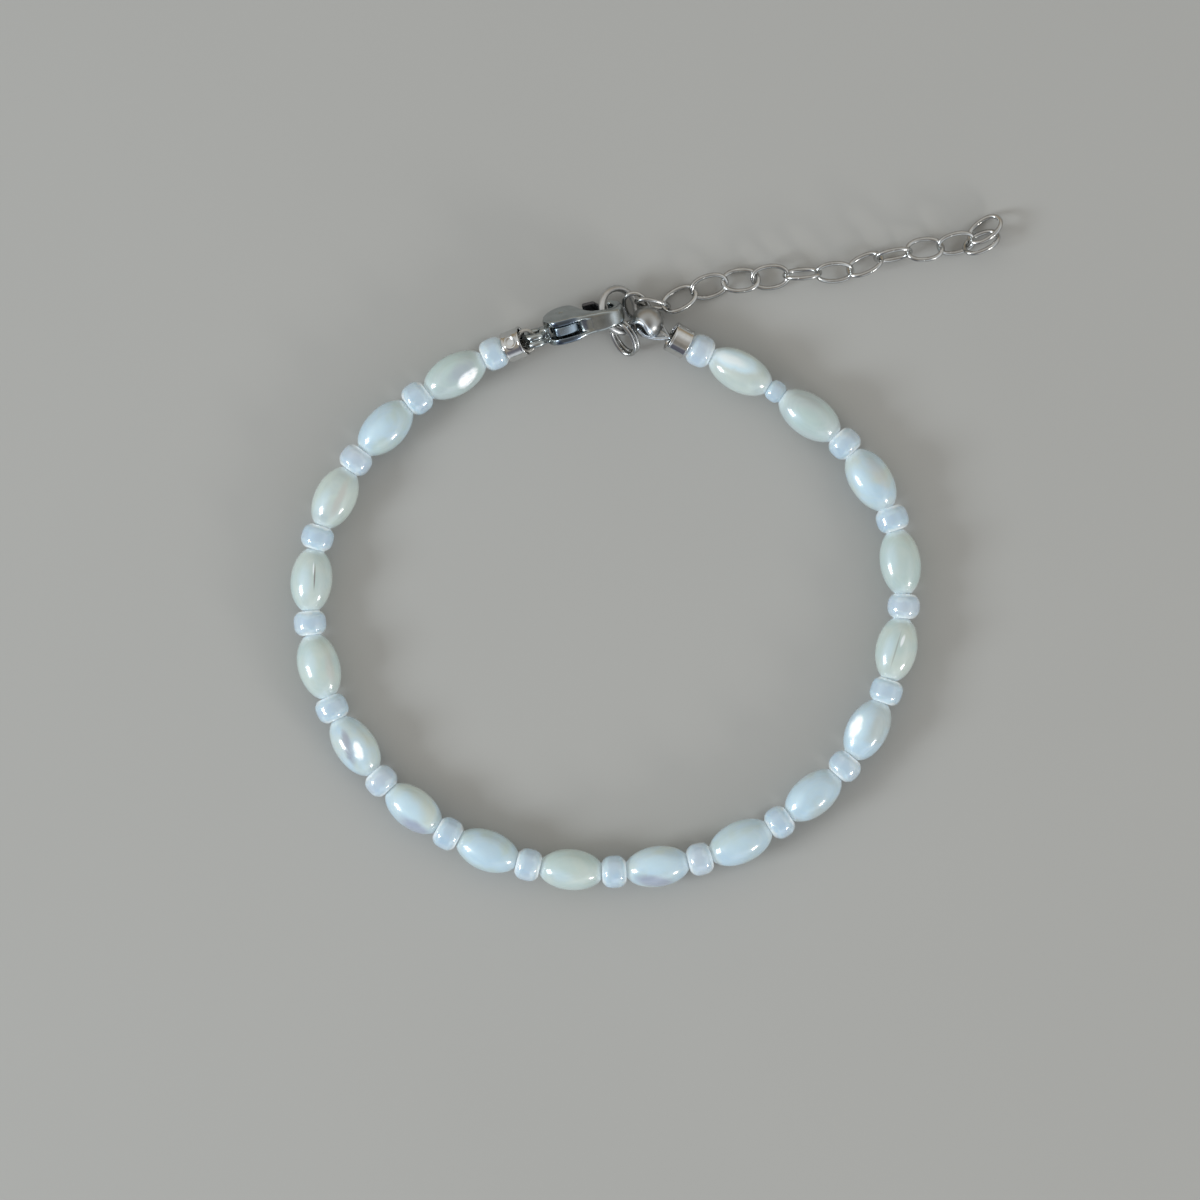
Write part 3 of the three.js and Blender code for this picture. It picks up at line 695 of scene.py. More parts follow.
def nacre(name, number, turn, offset):
    """Mother-of-pearl: cloudy pale body, fine growth layers, marks (cracks, tints, and painted highlights and
    shade where layers catch light) and painted lighter, glowing ends.
    """
    material, nodes, shader, in_mm = new_material(name)
    shifted = nodes.place(in_mm, location=offset)
    cloud = nodes.noise(shifted, 0.28, 3, 0.5, 0.5)
    colour = nodes.mix(nodes.span(cloud, 0.34, 0.64), *OVAL_COLOURS[number - 1])
    layers = nodes.add("TexWave", {
        "Vector": nodes.place(shifted, rotation=turn, scale=(0.22, 1.0, 2.6)),
        "Scale": 0.55, "Distortion": 3.2, "Detail": 3.0, "Detail Scale": 0.9,
    }, "Fac", wave_type="BANDS", bands_direction="Z")
    colour = nodes.mix(nodes.maths("MULTIPLY", layers, 0.07), colour, LAYER_COLOUR)
    hue = nodes.noise(nodes.place(shifted, scale=(0.5, 1, 1)), 0.35, 2, 0.5, 0.8, "Color")
    colour = nodes.mix(0.05, colour, hue, "OVERLAY")
    wobble = nodes.noise(shifted, 0.8, 3, 0.6, output="Color")
    wobble = nodes.place(wobble, (-0.25, -0.25, -0.25), scale=(0.5, 0.5, 0.5))
    bent = nodes.vectors("ADD", {0: in_mm, 1: wobble})
    painted_glow = 0.0
    for mark in [mark for mark in OVAL_MARKS if mark[0] == number]:
        tint, glow = MARKS[mark[1]]
        mask = mark_mask(nodes, mark, in_mm, bent, shifted)
        colour = nodes.mix(mask, colour, tint)
        # The brighter painted highlights also shine as painted glow (emission).
        if glow:
            painted_glow = nodes.maths("ADD", painted_glow, nodes.maths("MULTIPLY", mask, glow))
    along = nodes.axis(in_mm, 0)
    # Painted lighter ends, for light that comes through the thin ends.
    at_end = nodes.span(nodes.maths("ABSOLUTE", along), 2.2, 3.1, 0.0, 0.8)
    nodes.fill(shader, {
        "Base Color": nodes.mix(at_end, colour, OVAL_ENDS),
        "Roughness": nodes.span(cloud, 0.3, 0.7, 0.16, 0.26),
        "Specular IOR Level": 0.6,
        "Subsurface Weight": 0.3, "Subsurface Radius": (1.0, 1.0, 0.9), "Subsurface Scale": DEPTH,
        "Coat Weight": 1.0, "Coat IOR": 1.6, "Coat Roughness": 0.025,
    })
    paint_glow_at_ends(nodes, shader, along, OVAL_GLOW, painted_glow)
    height = nodes.maths("ADD", nodes.maths("MULTIPLY", layers, 0.3), nodes.noise(shifted, 0.9, 3))
    nodes.bump(shader, 0.3, 0.00003, height)
    return material


SEED_FINISHES = [lustre_glass(f"lustre_glass_{i + 1}", tint, (9.0 * i, 4.0 * i, 0.0))
                 for i, tint in enumerate(SEED_TINTS)]

# ---- beads

NACRE_COUNT = 18
SEED_COUNT = 19
BORE = 0.8
# How much longer each bead is than its CAD node, and how much wider a seed bead is.
OVAL_TIP = 0.16
SEED_LIP = 0.34
SEED_SWELL = 1.05
# The CAD beads' sides, sides of the beads here, and the size of the hand-cut unevenness.
NACRE_CAD_SIDES, NACRE_SIDES, NACRE_WEAR = 12, 56, 0.035
SEED_CAD_SIDES, SEED_SIDES, SEED_WEAR = 10, 44, 0.03
FLOOR_GAP = 0.003
# A bead's hole runs its own way when that is this near to the strand's (a cosine), and else
# the strand's way.
SAME_WAY = 0.985


def node_points(node):
    return np.array([v.co for v in frame["nodes"][node].data.vertices], float) / MM


def strung_names():
    """A seed bead first and last, and an oval between each two."""
    pairs = ((f"seed_{i:02d}", f"nacre_{i:02d}") for i in range(1, SEED_COUNT + 1))
    return [name for pair in pairs for name in pair][:-1]


def bead_frames():
    """Each bead's middle, the way its hole runs, and its length and width, from its CAD node."""
    names = strung_names()
    clouds = [node_points(name) for name in names]
    middles = [cloud.mean(0) for cloud in clouds]
    found = {}
    for i, name in enumerate(names):
        ahead = middles[min(i + 1, len(names) - 1)] - middles[max(i - 1, 0)]
        ahead /= np.linalg.norm(ahead)
        centred = clouds[i] - middles[i]
        _, ways = np.linalg.eigh(np.cov(centred.T))
        match = ways.T @ ahead
        best = int(np.argmax(np.abs(match)))
        way = ways[:, best] * np.sign(match[best])
        if abs(match[best]) < SAME_WAY:
            way = ahead
        along = centred @ way
        across = np.linalg.norm(centred - np.outer(along, way), axis=1)
        found[name] = (middles[i], way, along.max() - along.min(), 2 * across.max())
    return names, found


BEAD_NAMES, BEADS = bead_frames()


def facet_swell(sides):
    return math.cos(math.pi / sides)


def level_frame(point, way):
    """A frame along a way, with its second axis level."""
    return frame_of(point, way, np.cross((0, 0, 1), way))


def mirrored(right):
    """A closed profile from its right half, whose first point is at the middle."""
    return [(r, -a) for r, a in reversed(right[1:])] + right


def nacre_profile(length, width, fullness=2.0, end=0.95):
    """An ellipse, cut off and rounded where the hole comes out."""
    tip = (1 - (end / width) ** fullness) ** (1 / fullness)
    half, bore = length / 2, BORE / 2
    part = np.sin(np.linspace(0, math.pi / 2, 22))
    radius = width / 2 * (1 - (part * tip) ** fullness) ** (1 / fullness)
    along = part * half
    keep = along < half - 0.09
    right = list(zip(radius[keep], along[keep]))
    right += [(radius[-1] + 0.01, half - 0.07), (radius[-1] - 0.04, half - 0.02), (radius[-1] - 0.12, half),
              (bore + 0.04, half - 0.005), (bore, half - 0.05), (bore, half * 0.5)]
    return mirrored(right)


def seed_profile(length, width, fullness):
    """A rounded barrel whose dished ends take the tips of the oval beads."""
    half, middle = length / 2, width / 2
    reach, dish, bore = half * 1.16, 0.42 * middle, 0.3 * middle
    along = np.linspace(0, half * 0.93, 12)
    outer = [(middle * (1 - (a / reach) ** fullness) ** 0.5, a) for a in along]
    edge = outer[-1][0]
    lip = [(edge - 0.06 * middle, half * 0.98), (edge - 0.12 * middle, half), (dish, half * 0.985),
           (dish - 0.06, half * 0.9), (bore, half * 0.72), (bore, half * 0.3)]
    return mirrored(outer + lip)


def worn(points, seed, size):
    """Small hand-cut unevenness of a bead's outside."""
    picker = random.Random(seed)
    waves = [(picker.uniform(-1, 1), picker.uniform(0.3, 0.9), picker.randint(1, 3), picker.uniform(0, 6.28))
             for _ in range(5)]
    radius = np.hypot(points[..., 1], points[..., 2])
    angle = np.arctan2(points[..., 2], points[..., 1])
    swell = sum(a * np.sin(f * points[..., 0] + k * angle + p) for a, f, k, p in waves) / 5
    made = points.copy()
    made[..., 1:] *= (1 + size * swell * (radius > BORE / 2 + 0.1))[..., None]
    return made


def build_nacre(number):
    name = f"nacre_{number:02d}"
    middle, way, length, width = BEADS[name]
    profile = nacre_profile(length + OVAL_TIP, width * facet_swell(NACRE_CAD_SIDES))
    points, faces = lathe(profile, NACRE_SIDES, lambda p: worn(p, number, NACRE_WEAR))
    turn = (rng.uniform(-0.5, 0.5), rng.uniform(-0.4, 0.4), rng.uniform(-0.6, 0.6))
    offset = tuple(rng.uniform(-40, 40) for _ in range(3))
    material = nacre(f"{name}_shell", number, turn, offset)
    points[:, 2] = np.maximum(points[:, 2], FLOOR_GAP - middle[2])
    place = level_frame(middle, way)
    piece(name, f"rice_bead_{number:02d}", (points, faces), material, place)


def build_seed(number):
    name = f"seed_{number:02d}"
    middle, way, length, width = BEADS[name]
    width *= facet_swell(SEED_CAD_SIDES)
    profile = seed_profile(length + SEED_LIP, width * SEED_SWELL, rng.uniform(2.7, 3.2))
    shape = lathe(profile, SEED_SIDES, lambda p: worn(p, 50 + number, SEED_WEAR))
    finish, place = SEED_FINISHES[number % len(SEED_FINISHES)], level_frame(middle, way)
    piece(name, f"seed_bead_{number:02d}", shape, finish, place)


for bead_number in range(1, NACRE_COUNT + 1):
    build_nacre(bead_number)
for bead_number in range(1, SEED_COUNT + 1):
    build_seed(bead_number)

# ---- end caps

CAP_LENGTH = 1.92
CAP_WIDTH = 3.05
CAP_WALL = 0.2
CAP_HOLE = 0.8
CAP_SIDES, MARKED_SIDES = 96, 160
# The plain dimple: its radius, its place along the cap, the way it faces (an angle) and its depth.
DIMPLE = {"radius": 0.6, "along": 0.98, "facing": 1.32, "depth": 0.12, "brim": 0.03}


def cap_profile():
    """A short tube with a thin raised rim at both ends and a bored end wall."""
    rim, hole, top = CAP_WIDTH / 2, CAP_HOLE / 2, CAP_LENGTH
    inner, drum = rim - CAP_WALL, rim - 0.022
    return [
        (hole, 0.04), (hole + 0.04, 0.0), (0.6, 0.0), (0.8, 0.0), (1.0, 0.0), (rim - 0.26, 0.005),
        (rim - 0.12, 0.04), (rim - 0.03, 0.1), (rim, 0.15), (rim, 0.2), (rim - 0.01, 0.24), (drum, 0.28),
        *((drum, a) for a in np.linspace(0.32, top - 0.28, 28)),
        (drum, top - 0.24), (rim - 0.01, top - 0.2), (rim, top - 0.16), (rim, top - 0.05),
        (rim - 0.02, top - 0.012), (rim - 0.06, top), (inner + 0.04, top), (inner, top - 0.04),
        *((inner, a) for a in np.linspace(top - 0.3, 0.3, 6)),
        (inner - 0.06, CAP_WALL + 0.02), (inner - 0.2, CAP_WALL), (hole + 0.04, CAP_WALL),
        (hole, CAP_WALL - 0.04),
    ]


def dimpled(points):
    """Presses the round dimple, with a low brim, into a cap's outside."""
    x, y, z = points[..., 0], points[..., 1], points[..., 2]
    radius = DIMPLE["radius"]
    outside = np.hypot(y, z) > CAP_WIDTH / 2 - 0.1
    far = np.hypot(x - DIMPLE["along"], (np.arctan2(z, y) - DIMPLE["facing"]) * CAP_WIDTH / 2)
    bowl = -DIMPLE["depth"] * (1 - step_between(far, 0.5 * radius, radius))
    bowl = bowl + DIMPLE["brim"] * np.exp(-((far - radius) / 0.07) ** 2)
    grow = 1 + np.where(outside & (far < radius + 0.2), bowl, 0) / (CAP_WIDTH / 2)
    return np.stack([x, y * grow, z * grow], -1)


def build_cap(name, heading, slope, sides, reshape=None):
    cloud = node_points(name)
    way = heading_way(heading, slope)
    along = cloud @ way
    start = cloud[along < along.min() + 0.02].mean(0)
    shape = lathe(cap_profile(), sides, reshape)
    piece(name, f"{name}_tube", shape, CAP_FINISH, level_frame(start, way))
    return start, way


LEFT_START, LEFT_WAY = build_cap("cap_left", 22.7, 16, MARKED_SIDES, dimpled)
build_cap("cap_right", 151.5, 9, CAP_SIDES)

# ---- the fastening's frames

FASTENING_HEADING = 14.5
CLASP_ACROSS = 0.56
CLASP_HEIGHT = 2.96
PIVOT = (-2.45, -0.3)


def fastening_frames():
    """The clasp's frame (x along, y up, z on its hinge) and the fastening's, which lies flat."""
    joint = frame["joints"][0]
    hinge = Vector(joint["axis"]).normalized()
    along = Vector(heading_way(FASTENING_HEADING))
    up = hinge.cross(along).normalized()
    origin = Vector(joint["pos_m"]) / MM - along * PIVOT[0] - up * PIVOT[1]
    clasp = Matrix((along, up, hinge)).transposed().to_4x4()
    clasp.translation = origin
    flat = Matrix.Rotation(math.radians(FASTENING_HEADING), 4, "Z")
    flat.translation = origin - flat @ Vector((0, CLASP_ACROSS, CLASP_HEIGHT))
    return clasp, flat


CLASP_PLACE, FASTENING = fastening_frames()

# ---- lobster clasp (in its own frame)

EYE = {"x": -5.35, "aside": 0.5, "radius": 1.25, "hole": 0.6, "thickness": 1.4}
LEVER = {"hub": 1.38, "gate_top": -1.4, "gate_bottom": -1.92, "reach": 1.93, "tab": -2.72}
SLOT = {"left": -3.95, "right": -0.95, "front": 1.25, "ceiling": 0.42, "beyond": 5}
GRID = 0.05
# Half of each part's thickness along the hinge.
CHEEK_HALF = 1.36
HOOK_HALF = 1.0
SLOT_HALF = 0.62
LEVER_HALF = 0.46
GATE_HALF, GATE_END_HALF = 1.15, 0.62
# The box of grid points round each part.
CAST_BOX = ((-6.8, -2.45, -1.5), (3.75, 2.4, 1.5))
LEVER_BOX = ((-4.2, -3.0, -1.4), (2.3, 2.25, 1.4))
RIVET = {"head": 0.52, "head_at": 1.15, "head_half": 0.32, "dome": 0.05, "pin": 0.3, "pin_half": 1.1}
LEVER_BORE = 0.42


def body_outline(left=-4.35, top=2.15, bottom=-2.1, waist=1.78):
    return outline(
        (left, 0.5),
        ((left + 0.5, top - 0.2), (left + 1.1, top), (left + 1.9, top)),
        ((-1.3, top), (-0.9, waist), (0.1, waist)),
        ((0.4, waist), (0.7, waist - 0.12), (1.0, waist - 0.4)),
        ((1.0, 0.9),),
        ((0.5, 0.65), (0.05, 0.2), (-0.4, -0.6)),
        ((-0.75, -1.2), (-1.1, bottom), (-2.2, bottom)),
        ((left + 1.1, bottom), (left + 0.5, -1.3), (left + 0.12, -0.45)),
    )


def hook_outline(nose=3.5, top=1.95, tip=2.1, waist=1.78):
    return outline(
        (-0.8, waist - 0.5),
        ((-0.2, waist - 0.1), (0.6, top), (1.6, top)),
        ((2.9, top), (nose, 1.1), (nose, 0)),
        ((nose, -1.1), (nose - 0.5, -1.92), (tip, -1.92)),
        ((tip, -1.4),),
        ((2.52, -1.4), (2.62, -0.8), (2.62, -0.2)),
        ((2.62, 0.5), (2.22, 0.9), (1.7, 0.9)),
        ((-0.8, 0.9),),
    )


SLOT_OUTLINE = outline(
    (SLOT["left"], -SLOT["beyond"]), ((SLOT["right"], -SLOT["beyond"]), (SLOT["right"], 1.2)),
    ((-0.9, 1.45), (-0.6, 1.68), (0.25, 1.8)), ((0.25, SLOT["beyond"]), (SLOT["left"], SLOT["beyond"])),
)
# The lever's crest, from the pivot, as an outline's strokes.
CREST = (
    ((1.4, 0.9), (1.48, 1.25), (1.3, 1.6)),
    ((0.95, 2.16), (-0.55, 2.3), (-0.9, 1.95)),
    ((-1.02, 1.7), (-1.12, 1.2), (-1.18, 0.72)),
)


def hub_rim(first, last, steps):
    """Points on the lever's hub between two angles in degrees."""
    sweep = np.radians(np.linspace(first, last, steps))
    return np.stack([PIVOT[0] + LEVER["hub"] * np.cos(sweep), PIVOT[1] + LEVER["hub"] * np.sin(sweep)], 1)


def lever_outline():
    """The hub, its crest that fills the slot from above, the thumb tab and the gate."""
    tab, top, bottom, reach = (LEVER[key] for key in ("tab", "gate_top", "gate_bottom", "reach"))
    crest = outline(hub_rim(25, 25, 1)[0], *[
        [(PIVOT[0] + x, PIVOT[1] + y) for x, y in stroke] for stroke in CREST])
    rest = outline(
        hub_rim(250, 250, 1)[0],
        ((-1.75, tab + 0.75), (-1.35, tab + 0.1), (-0.95, tab), (-0.75, tab + 0.15),
         (-0.55, bottom), (reach, bottom), (reach, top), (0.2, top)),
        ((-0.5, top), (-0.9, -1.1), (-1.15, PIVOT[1] - LEVER["hub"] * 0.34)),
    )
    return np.concatenate([hub_rim(-20, 25, 10), crest[1:], hub_rim(150, 250, 24), rest[1:]])


def cast_cheeks(x, y, z):
    """The two cheeks, bellied and thinning upwards, and the hook that grows out of them."""
    narrowing = step_between(x, -1.7, 0.5)
    swell = CHEEK_HALF - 0.07 * np.clip(np.abs(x + 2.6) / 1.6, 0, 1.3) ** 2
    half = swell + (HOOK_HALF - swell) * narrowing - 0.2 * step_between(x, 1.2, 3.2)
    half = half - 0.16 * np.clip((y - 0.9) / 1.25, 0, 1) ** 2
    body = plate(flat_distance(body_outline(), x, y), z, half, 0.2)
    hook_half = HOOK_HALF - 0.22 * step_between(x, 1.0, 3.2)
    return join(body, plate(flat_distance(hook_outline(), x, y), z, hook_half, 0.3), 0.16)


def cast_eye(x, y, z):
    """The eye: two round ridges side by side, with the groove between them."""
    ring = np.hypot(x - EYE["x"], y) - (EYE["radius"] + EYE["hole"]) / 2
    ridges = [np.hypot(ring, (z - EYE["aside"] - lift) * 0.92) - 0.315 for lift in (-0.36, 0.36)]
    return join(*ridges, 0.12)


def build_clasp_body():
    low, high = CAST_BOX
    x, y, z = grid_points(low, high, GRID)
    neck = plate(box_distance(x, y, (-4.9, -0.62), (-3.6, 0.62)), z - 0.22, 0.6, 0.22)
    hole = plate(np.hypot(x - EYE["x"], y) - EYE["hole"] + 0.02, z, 3, 0.01)
    solid = cut(join(cast_cheeks(x, y, z), neck, 0.2), hole, 0.05)
    solid = join(solid, cast_eye(x, y, z), 0.1)
    front = box_distance(x, y, (SLOT["left"], -SLOT["beyond"]), (SLOT["front"], SLOT["ceiling"]))
    for hollow in (flat_distance(SLOT_OUTLINE, x, y), front):
        solid = cut(solid, plate(hollow, z, SLOT_HALF, 0.1), 0.08)
    from_pivot = np.hypot(x - PIVOT[0], y - PIVOT[1])
    head_height = np.abs(np.abs(z) - RIVET["head_at"]) - RIVET["head_half"] + RIVET["dome"] * from_pivot ** 2
    head = rounded(from_pivot - RIVET["head"], head_height, 0.12)
    pin = plate(from_pivot - RIVET["pin"], z, RIVET["pin_half"], 0.02)
    solid = np.minimum(join(solid, head, 0.05), pin)
    shape = skin(solid, low, GRID, 6, 0.55)
    piece("clasp_body", "clasp_body_cast", shape, CLASP_FINISH, CLASP_PLACE)


def build_clasp_lever():
    low, high = LEVER_BOX
    x, y, z = grid_points(low, high, GRID)
    arm = plate(flat_distance(lever_outline(), x, y), z, LEVER_HALF, 0.13)
    gate_flat = box_distance(x, y, (-0.3, LEVER["gate_bottom"]), (LEVER["reach"], LEVER["gate_top"]))
    gate_half = GATE_HALF + (GATE_END_HALF - GATE_HALF) * step_between(x, 0.75, 1.5)
    arm = join(arm, plate(gate_flat, z, gate_half, 0.16), 0.1)
    arm = cut(arm, np.hypot(x - PIVOT[0], y - PIVOT[1]) - LEVER_BORE, 0.06)
    shape = skin(arm, low, GRID, 5, 0.55)
    piece("clasp_lever", "clasp_lever_arm", shape, LEVER_FINISH, CLASP_PLACE, "lever")


build_clasp_body()
build_clasp_lever()

# ---- rings, links and chain

LINK = {"length": 3.9, "width": 2.7, "wire": 0.45, "contact": 0.12, "seam": 0.035, "fullness": 2.25}
LINK_SIDES = 18
# The loose links in the fastening's frame: middle, the ways along and across, and where the
# seam is, as a part of the way round.
LOOSE_LINKS = {
    "link_joint": ((4.79, 0.56, 1.29), (-0.12, 0.81, 0.575), (0.97, -0.03, 0.24), 0.55),
    "link_spare_1": ((3.08, -1.9, 1.41), (-0.22, 0.92, 0.33), (0.74, -0.06, 0.67), 0.35),
    "link_spare_2": ((2.76, -2.08, 1.74), (-0.17, 0.91, 0.37), (0.76, -0.12, 0.64), 0.85),
    "link_end": ((38.46, -1.7, 1.03), (0.98, 0.18, -0.01), (-0.14, 0.71, -0.69), 0.3),
}
# The extender's links: heading, slope and roll of each, in degrees. The chain's three pieces
# part at the links in SPLITS.
EXTENDER_START = (5.25, 1.08, 2.65)
EXTENDER = (
    (-15, -34, 72), (30, -2, -32), (17, -1, 27), (5, 1, -25), (8, 7, 22), (3, 7, -68),
    (3, -8, 42), (25, 2, -42), (12, 4, 68), (8, -8, -28), (14, 0, 38), (36, 0, -37),
)
SPLITS = (4, 8)
SPLIT_GAP = 0.14
CHAIN_SEAMS = (0.22, 0.72, 0.28, 0.78)


def oval_path(seam_at, steps=90):
    """The middle line of an oval link, open by a hair at its seam."""
    fine = np.linspace(0, 2 * math.pi, 1441)
    power = 2 / LINK["fullness"]
    x, y = ((LINK[size] - LINK["wire"]) / 2 * np.sign(wave) * np.abs(wave) ** power
            for size, wave in (("length", np.cos(fine)), ("width", np.sin(fine))))
    gone = np.concatenate([[0], np.cumsum(np.hypot(np.diff(x), np.diff(y)))])
    half_seam = LINK["seam"] / 2
    spots = (np.linspace(half_seam, gone[-1] - half_seam, steps) + seam_at * gone[-1]) % gone[-1]
    return np.stack([np.interp(spots, gone, x), np.interp(spots, gone, y), 0 * spots], 1)


def soften(path, rounds=6):
    """Takes the corners of curvature out of an open path, keeping its ends."""
    for _ in range(rounds):
        path = path.copy()
        path[1:-1] += 0.5 * ((path[:-2] + path[2:]) / 2 - path[1:-1])
    return path


def link_part(place, seam_at):
    points, faces = tube(soften(oval_path(seam_at)), LINK["wire"] / 2, LINK_SIDES)
    matrix = FASTENING @ place
    return points @ np.array(matrix.to_3x3()).T + np.array(matrix.translation), faces


def extender_places():
    """The links' places, each hanging on the one before, or a hair off it where the chain parts."""
    half = LINK["length"] / 2 - LINK["wire"]
    contact = Vector(EXTENDER_START)
    places = []
    for i, (heading, slope, roll) in enumerate(EXTENDER):
        along = Vector(heading_way(heading - FASTENING_HEADING, slope))
        if i:
            contact += along * (-SPLIT_GAP if i in SPLITS else LINK["contact"])
        level = Vector((0, 0, 1)).cross(along).normalized()
        across = Matrix.Rotation(math.radians(roll), 3, along) @ level
        places.append(frame_of(contact + along * half, along, across))
        contact += along * 2 * half
    return places


def build_extender():
    places = extender_places()
    ends = [0, *SPLITS, len(places)]
    for k, (first, last) in enumerate(zip(ends, ends[1:]), 1):
        parts = [link_part(places[i], CHAIN_SEAMS[i % len(CHAIN_SEAMS)]) for i in range(first, last)]
        centred_piece(f"extender_{k}", f"extender_{k}_links", parts, CHAIN_FINISH)


def build_jump_ring():
    """The ring that the clasp holds, with its seam at the side away from the clasp."""
    radius, wire, seam, seam_at = 2.13, 0.65, 0.04, math.radians(200)
    place = FASTENING @ frame_of((3.1, 0.7, 1.98), heading_way(7.8, -39.7), (0, 1, 0))
    half_seam = seam / radius / 2
    turn = np.linspace(half_seam, 2 * math.pi - half_seam, 120) + seam_at
    path = np.stack([radius * np.cos(turn), radius * np.sin(turn), 0 * turn], 1)
    piece("ring_clasp", "jump_ring", tube(path, wire / 2, 24), RING_FINISH, place)


def build_loose_links():
    for link, (middle, along, across, seam_at) in LOOSE_LINKS.items():
        parts = [link_part(frame_of(middle, along, across), seam_at)]
        centred_piece(link, f"{link}_oval", parts, CHAIN_FINISH)


build_loose_links()
build_extender()
build_jump_ring()

# ---- bead tip (measured from its ball's middle, along the fastening's axes)

TIP = {
    "radius": 1.55, "wall": 0.2, "neck": (1.7, -2.08, -0.1),
    "cup_radius": 1.42, "hook_middle": (-1.53, -0.07, -1.16), "hook_across": (-0.33, 0.857, 0.376),
    "hook_radius": 0.6, "hook_wire": 0.3, "lip": 0.2, "lip_depth": 0.11, "rim": 0.18,
    "strap_start": (1.28, -0.6, 0.2), "strap_thin": 0.2, "strap_tall": 0.75,
}
TIP_MIDDLE = Vector((5.45, -1.07, 2.45))
TIP_GRID = 0.045
TIP_BOX = ((-2.4, -2.6, -1.75), (2.1, 1.6, 1.6))
# The lower shell's ball lies off the upper one's, and the plane that cuts it is slanted.
CUP_OFFSET = (0.04, 0.26, 0.1)
CUP_SLANT = (-0.32, -0.2, 1)
# The opening's edge seen from above, and the lower shell's rim.
TIP_OPENING = np.array((
    (-2.6, 0.35), (-1.6, 0.3), (-1.05, 0.26), (-0.72, 0.12), (-0.48, -0.14), (-0.34, -0.46),
    (-0.24, -0.8), (-0.1, -1.15), (0.12, -1.5), (0.4, -1.9), (0.8, -3.2), (-2.6, -3.2),
))
TIP_RIM = (
    (-1.02, -0.5, 0.25), (-0.9, -0.8, 0.2), (-0.66, -1.14, 0.12), (-0.3, -1.44, 0.04),
    (0.19, -1.68, -0.02), (0.9, -1.9, -0.04), (1.45, -2.06, -0.08), (1.62, -2.12, -0.1),
)


def strap(p):
    """The flat strip that stands on edge from the ball to the cap: thin in plan, tall along z."""
    off = from_segment(p, TIP["strap_start"], np.array(TIP["neck"]) + (0.04, 0.0, 0.05))
    plan = np.hypot(off[..., 0], off[..., 1]) - TIP["strap_thin"] / 2
    return plate(plan, off[..., 2], TIP["strap_tall"] / 2, TIP["strap_thin"] * 0.4)


def wire_hoop(p):
    """Distance to the bead tip's small wire hook, a hoop beside the ball."""
    middle = Vector(TIP["hook_middle"])
    place = frame_of(middle, -middle, TIP["hook_across"])
    q = (p - np.array(place.translation)) @ np.array(place.to_3x3())
    ring = np.hypot(q[..., 0], q[..., 1]) - TIP["hook_radius"]
    return np.hypot(ring, q[..., 2]) - TIP["hook_wire"] / 2


def hollow_ball(far, radius):
    return np.abs(far - radius + TIP["wall"] / 2) - TIP["wall"] / 2


def lower_cup(p, opening):
    """The lower shell: a smaller hollow ball below a slanted plane, near the opening only."""
    off = p + CUP_OFFSET
    cup = hollow_ball(np.linalg.norm(off, axis=-1), TIP["cup_radius"])
    cup = np.maximum(cup, off @ CUP_SLANT - 0.05)
    return np.maximum(cup, opening - 0.9)


def tip_field(p):
    """The bead tip's solid."""
    x, y, z = np.moveaxis(p, -1, 0)
    far, radius = np.linalg.norm(p, axis=-1), TIP["radius"]
    opening = flat_distance(TIP_OPENING, x, y)
    upper = cut(hollow_ball(far, radius), np.maximum(opening, -(z + 0.75)), 0.05)
    solid = join(upper, lower_cup(p, opening), 0.06)
    lip = np.hypot(far - radius + TIP["lip_depth"], opening) - TIP["lip"]
    solid = join(solid, np.maximum(lip, -(z + 0.5)), 0.04)
    for a, b in zip(TIP_RIM, TIP_RIM[1:]):
        bar = np.linalg.norm(from_segment(p, a, b) * (1, 1, 0.8), axis=-1) - TIP["rim"]
        solid = join(solid, bar, 0.03)
    solid = join(solid, strap(p), 0.06)
    return join(solid, np.maximum(wire_hoop(p), -(far - radius + TIP["wall"] * 0.6)), 0.06)


def rim_brightness(points):
    """Where the painted rim highlight goes: 1 on the bead tip's lip and rim, and 0 away from them."""
    lip = [(a, b, math.sqrt(max(0.0, TIP["radius"] ** 2 - a * a - b * b)) - 0.05)
           for a, b in TIP_OPENING[1:9]]
    near = np.full(len(points), 9.0)
    for line in (lip, TIP_RIM):
        for a, b in zip(line, line[1:]):
            near = np.minimum(near, np.linalg.norm(from_segment(points, a, b), axis=1))
    return 1 - step_between(near, 0.2, 0.42)


def build_tip():
    field = tip_field(np.stack(grid_points(*TIP_BOX, TIP_GRID), -1))
    shape = skin(field, TIP_BOX[0], TIP_GRID, 2, 0.4)
    place = FASTENING @ Matrix.Translation(TIP_MIDDLE)
    made = piece("bead_tip", "bead_tip_shell", shape, TIP_FINISH, place)
    rim_values = made.data.attributes.new("rim", "FLOAT", "POINT")
    rim_values.data.foreach_set("value", rim_brightness(shape[0]))


build_tip()

# ---- beading wire

WIRE_WIDTH = 0.36
WIRE_START = 1.2
WIRE_PAST_EYE = 0.08
# The points that each level of the curve's construction blends.
CURVE_LEVELS = (((0, 1), (1, 2), (2, 3)), ((0, 2), (1, 3)), ((1, 2),))


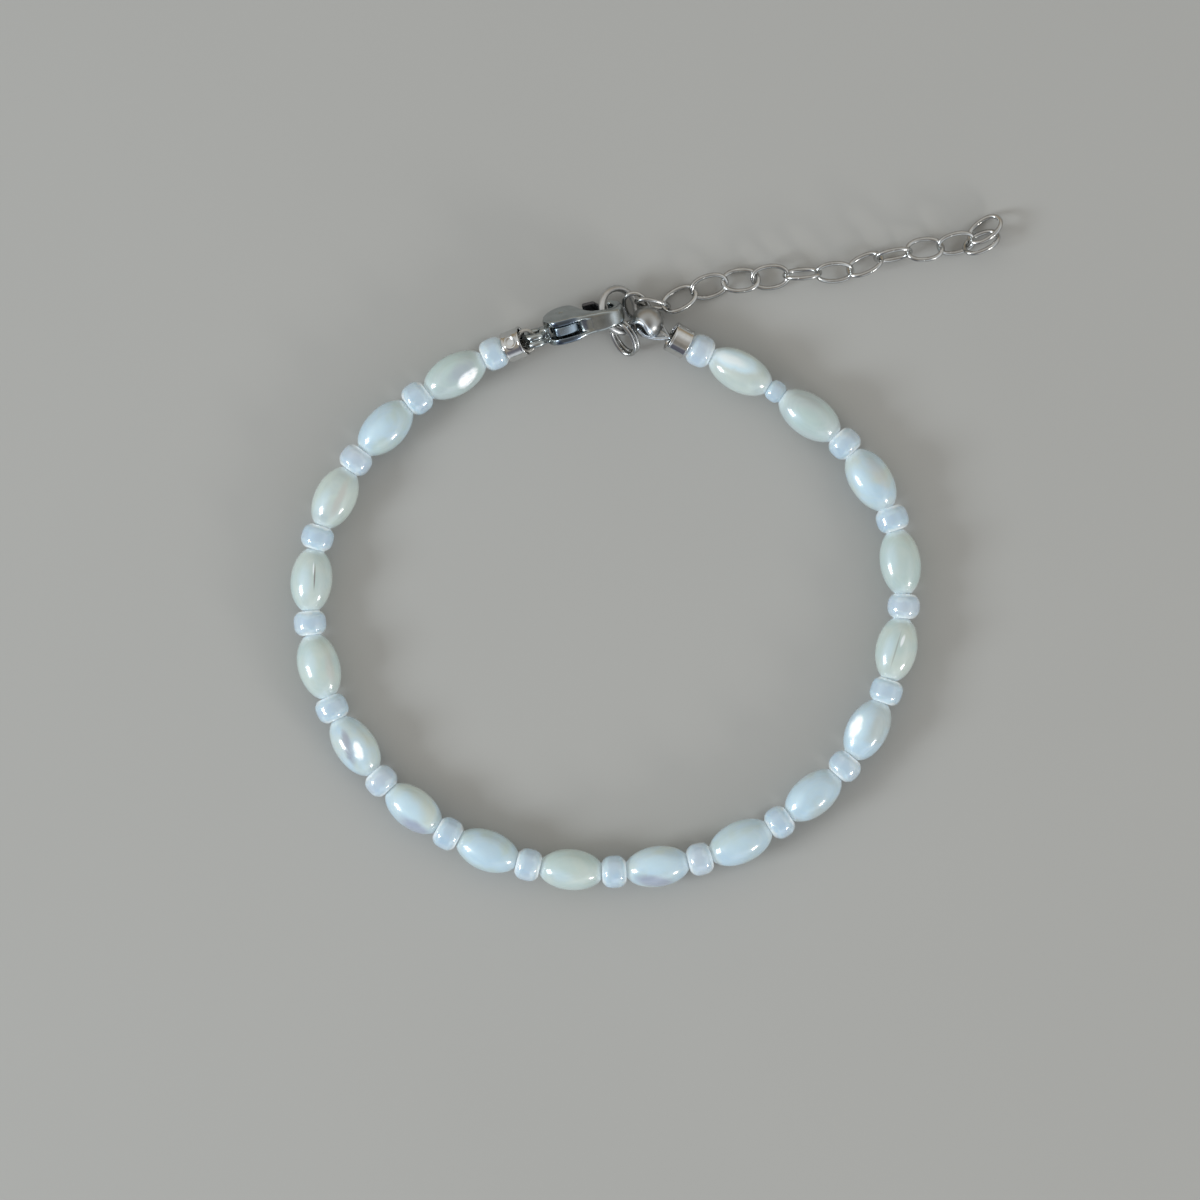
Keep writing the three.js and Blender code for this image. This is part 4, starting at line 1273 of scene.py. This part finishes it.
def through(points, steps):
    """A smooth centripetal curve through points."""
    points = [np.asarray(p, float) for p in points]
    points = [2 * points[0] - points[1], *points, 2 * points[-1] - points[-2]]
    made = []
    for i in range(len(points) - 3):
        four = points[i:i + 4]
        knots = np.cumsum([0.0] + [np.linalg.norm(q - p) ** 0.5 for p, q in zip(four, four[1:])])
        for t in np.linspace(knots[1], knots[2], steps, endpoint=False):
            row = four
            for level in CURVE_LEVELS:
                row = [(knots[e] - t) / (knots[e] - knots[s]) * p + (t - knots[s]) / (knots[e] - knots[s]) * q
                       for (s, e), p, q in zip(level, row, row[1:])]
            made.append(row[0])
    made.append(points[-2])
    return np.array(made)


def strand_path():
    """From the left cap through every bead's ends to the bead tip."""
    joints = [LEFT_START + LEFT_WAY * WIRE_START]
    for name in BEAD_NAMES:
        middle, way, length, _ = BEADS[name]
        joints.append(middle - way * (length / 2 + 0.05))
    middle, way, length, _ = BEADS[BEAD_NAMES[-1]]
    joints.append(middle + way * (length / 2 + 0.05))
    joints += [np.array(FASTENING @ p) for p in (TIP_MIDDLE + Vector(TIP["neck"]), TIP_MIDDLE)]
    strand = []
    for a, b in zip(joints, joints[1:]):
        strand += [a + (b - a) * t for t in np.linspace(0, 1, 5, endpoint=False)]
    return np.array([*strand, joints[-1]])


def eye_loop():
    """From the left cap round the clasp's eye and back."""
    start = LEFT_START + LEFT_WAY * WIRE_START
    beside = EYE["thickness"] / 2 + WIRE_WIDTH / 2 + WIRE_PAST_EYE
    turns = ((EYE["radius"], beside), (EYE["hole"], beside), (0, 0), (EYE["hole"], -beside),
             (EYE["radius"], -beside))
    round_eye = [np.array(CLASP_PLACE @ Vector((EYE["x"] - back, 0, EYE["aside"] + across)))
                 for back, across in turns]
    return through([start, *round_eye, start + (0, 0.05, 0)], 12)


WIRE_PARTS = [tube(strand_path(), WIRE_WIDTH / 2, 12), tube(eye_loop(), WIRE_WIDTH / 2, 14)]
centred_piece("bead_wire", "beading_wire", WIRE_PARTS, WIRE_FINISH)
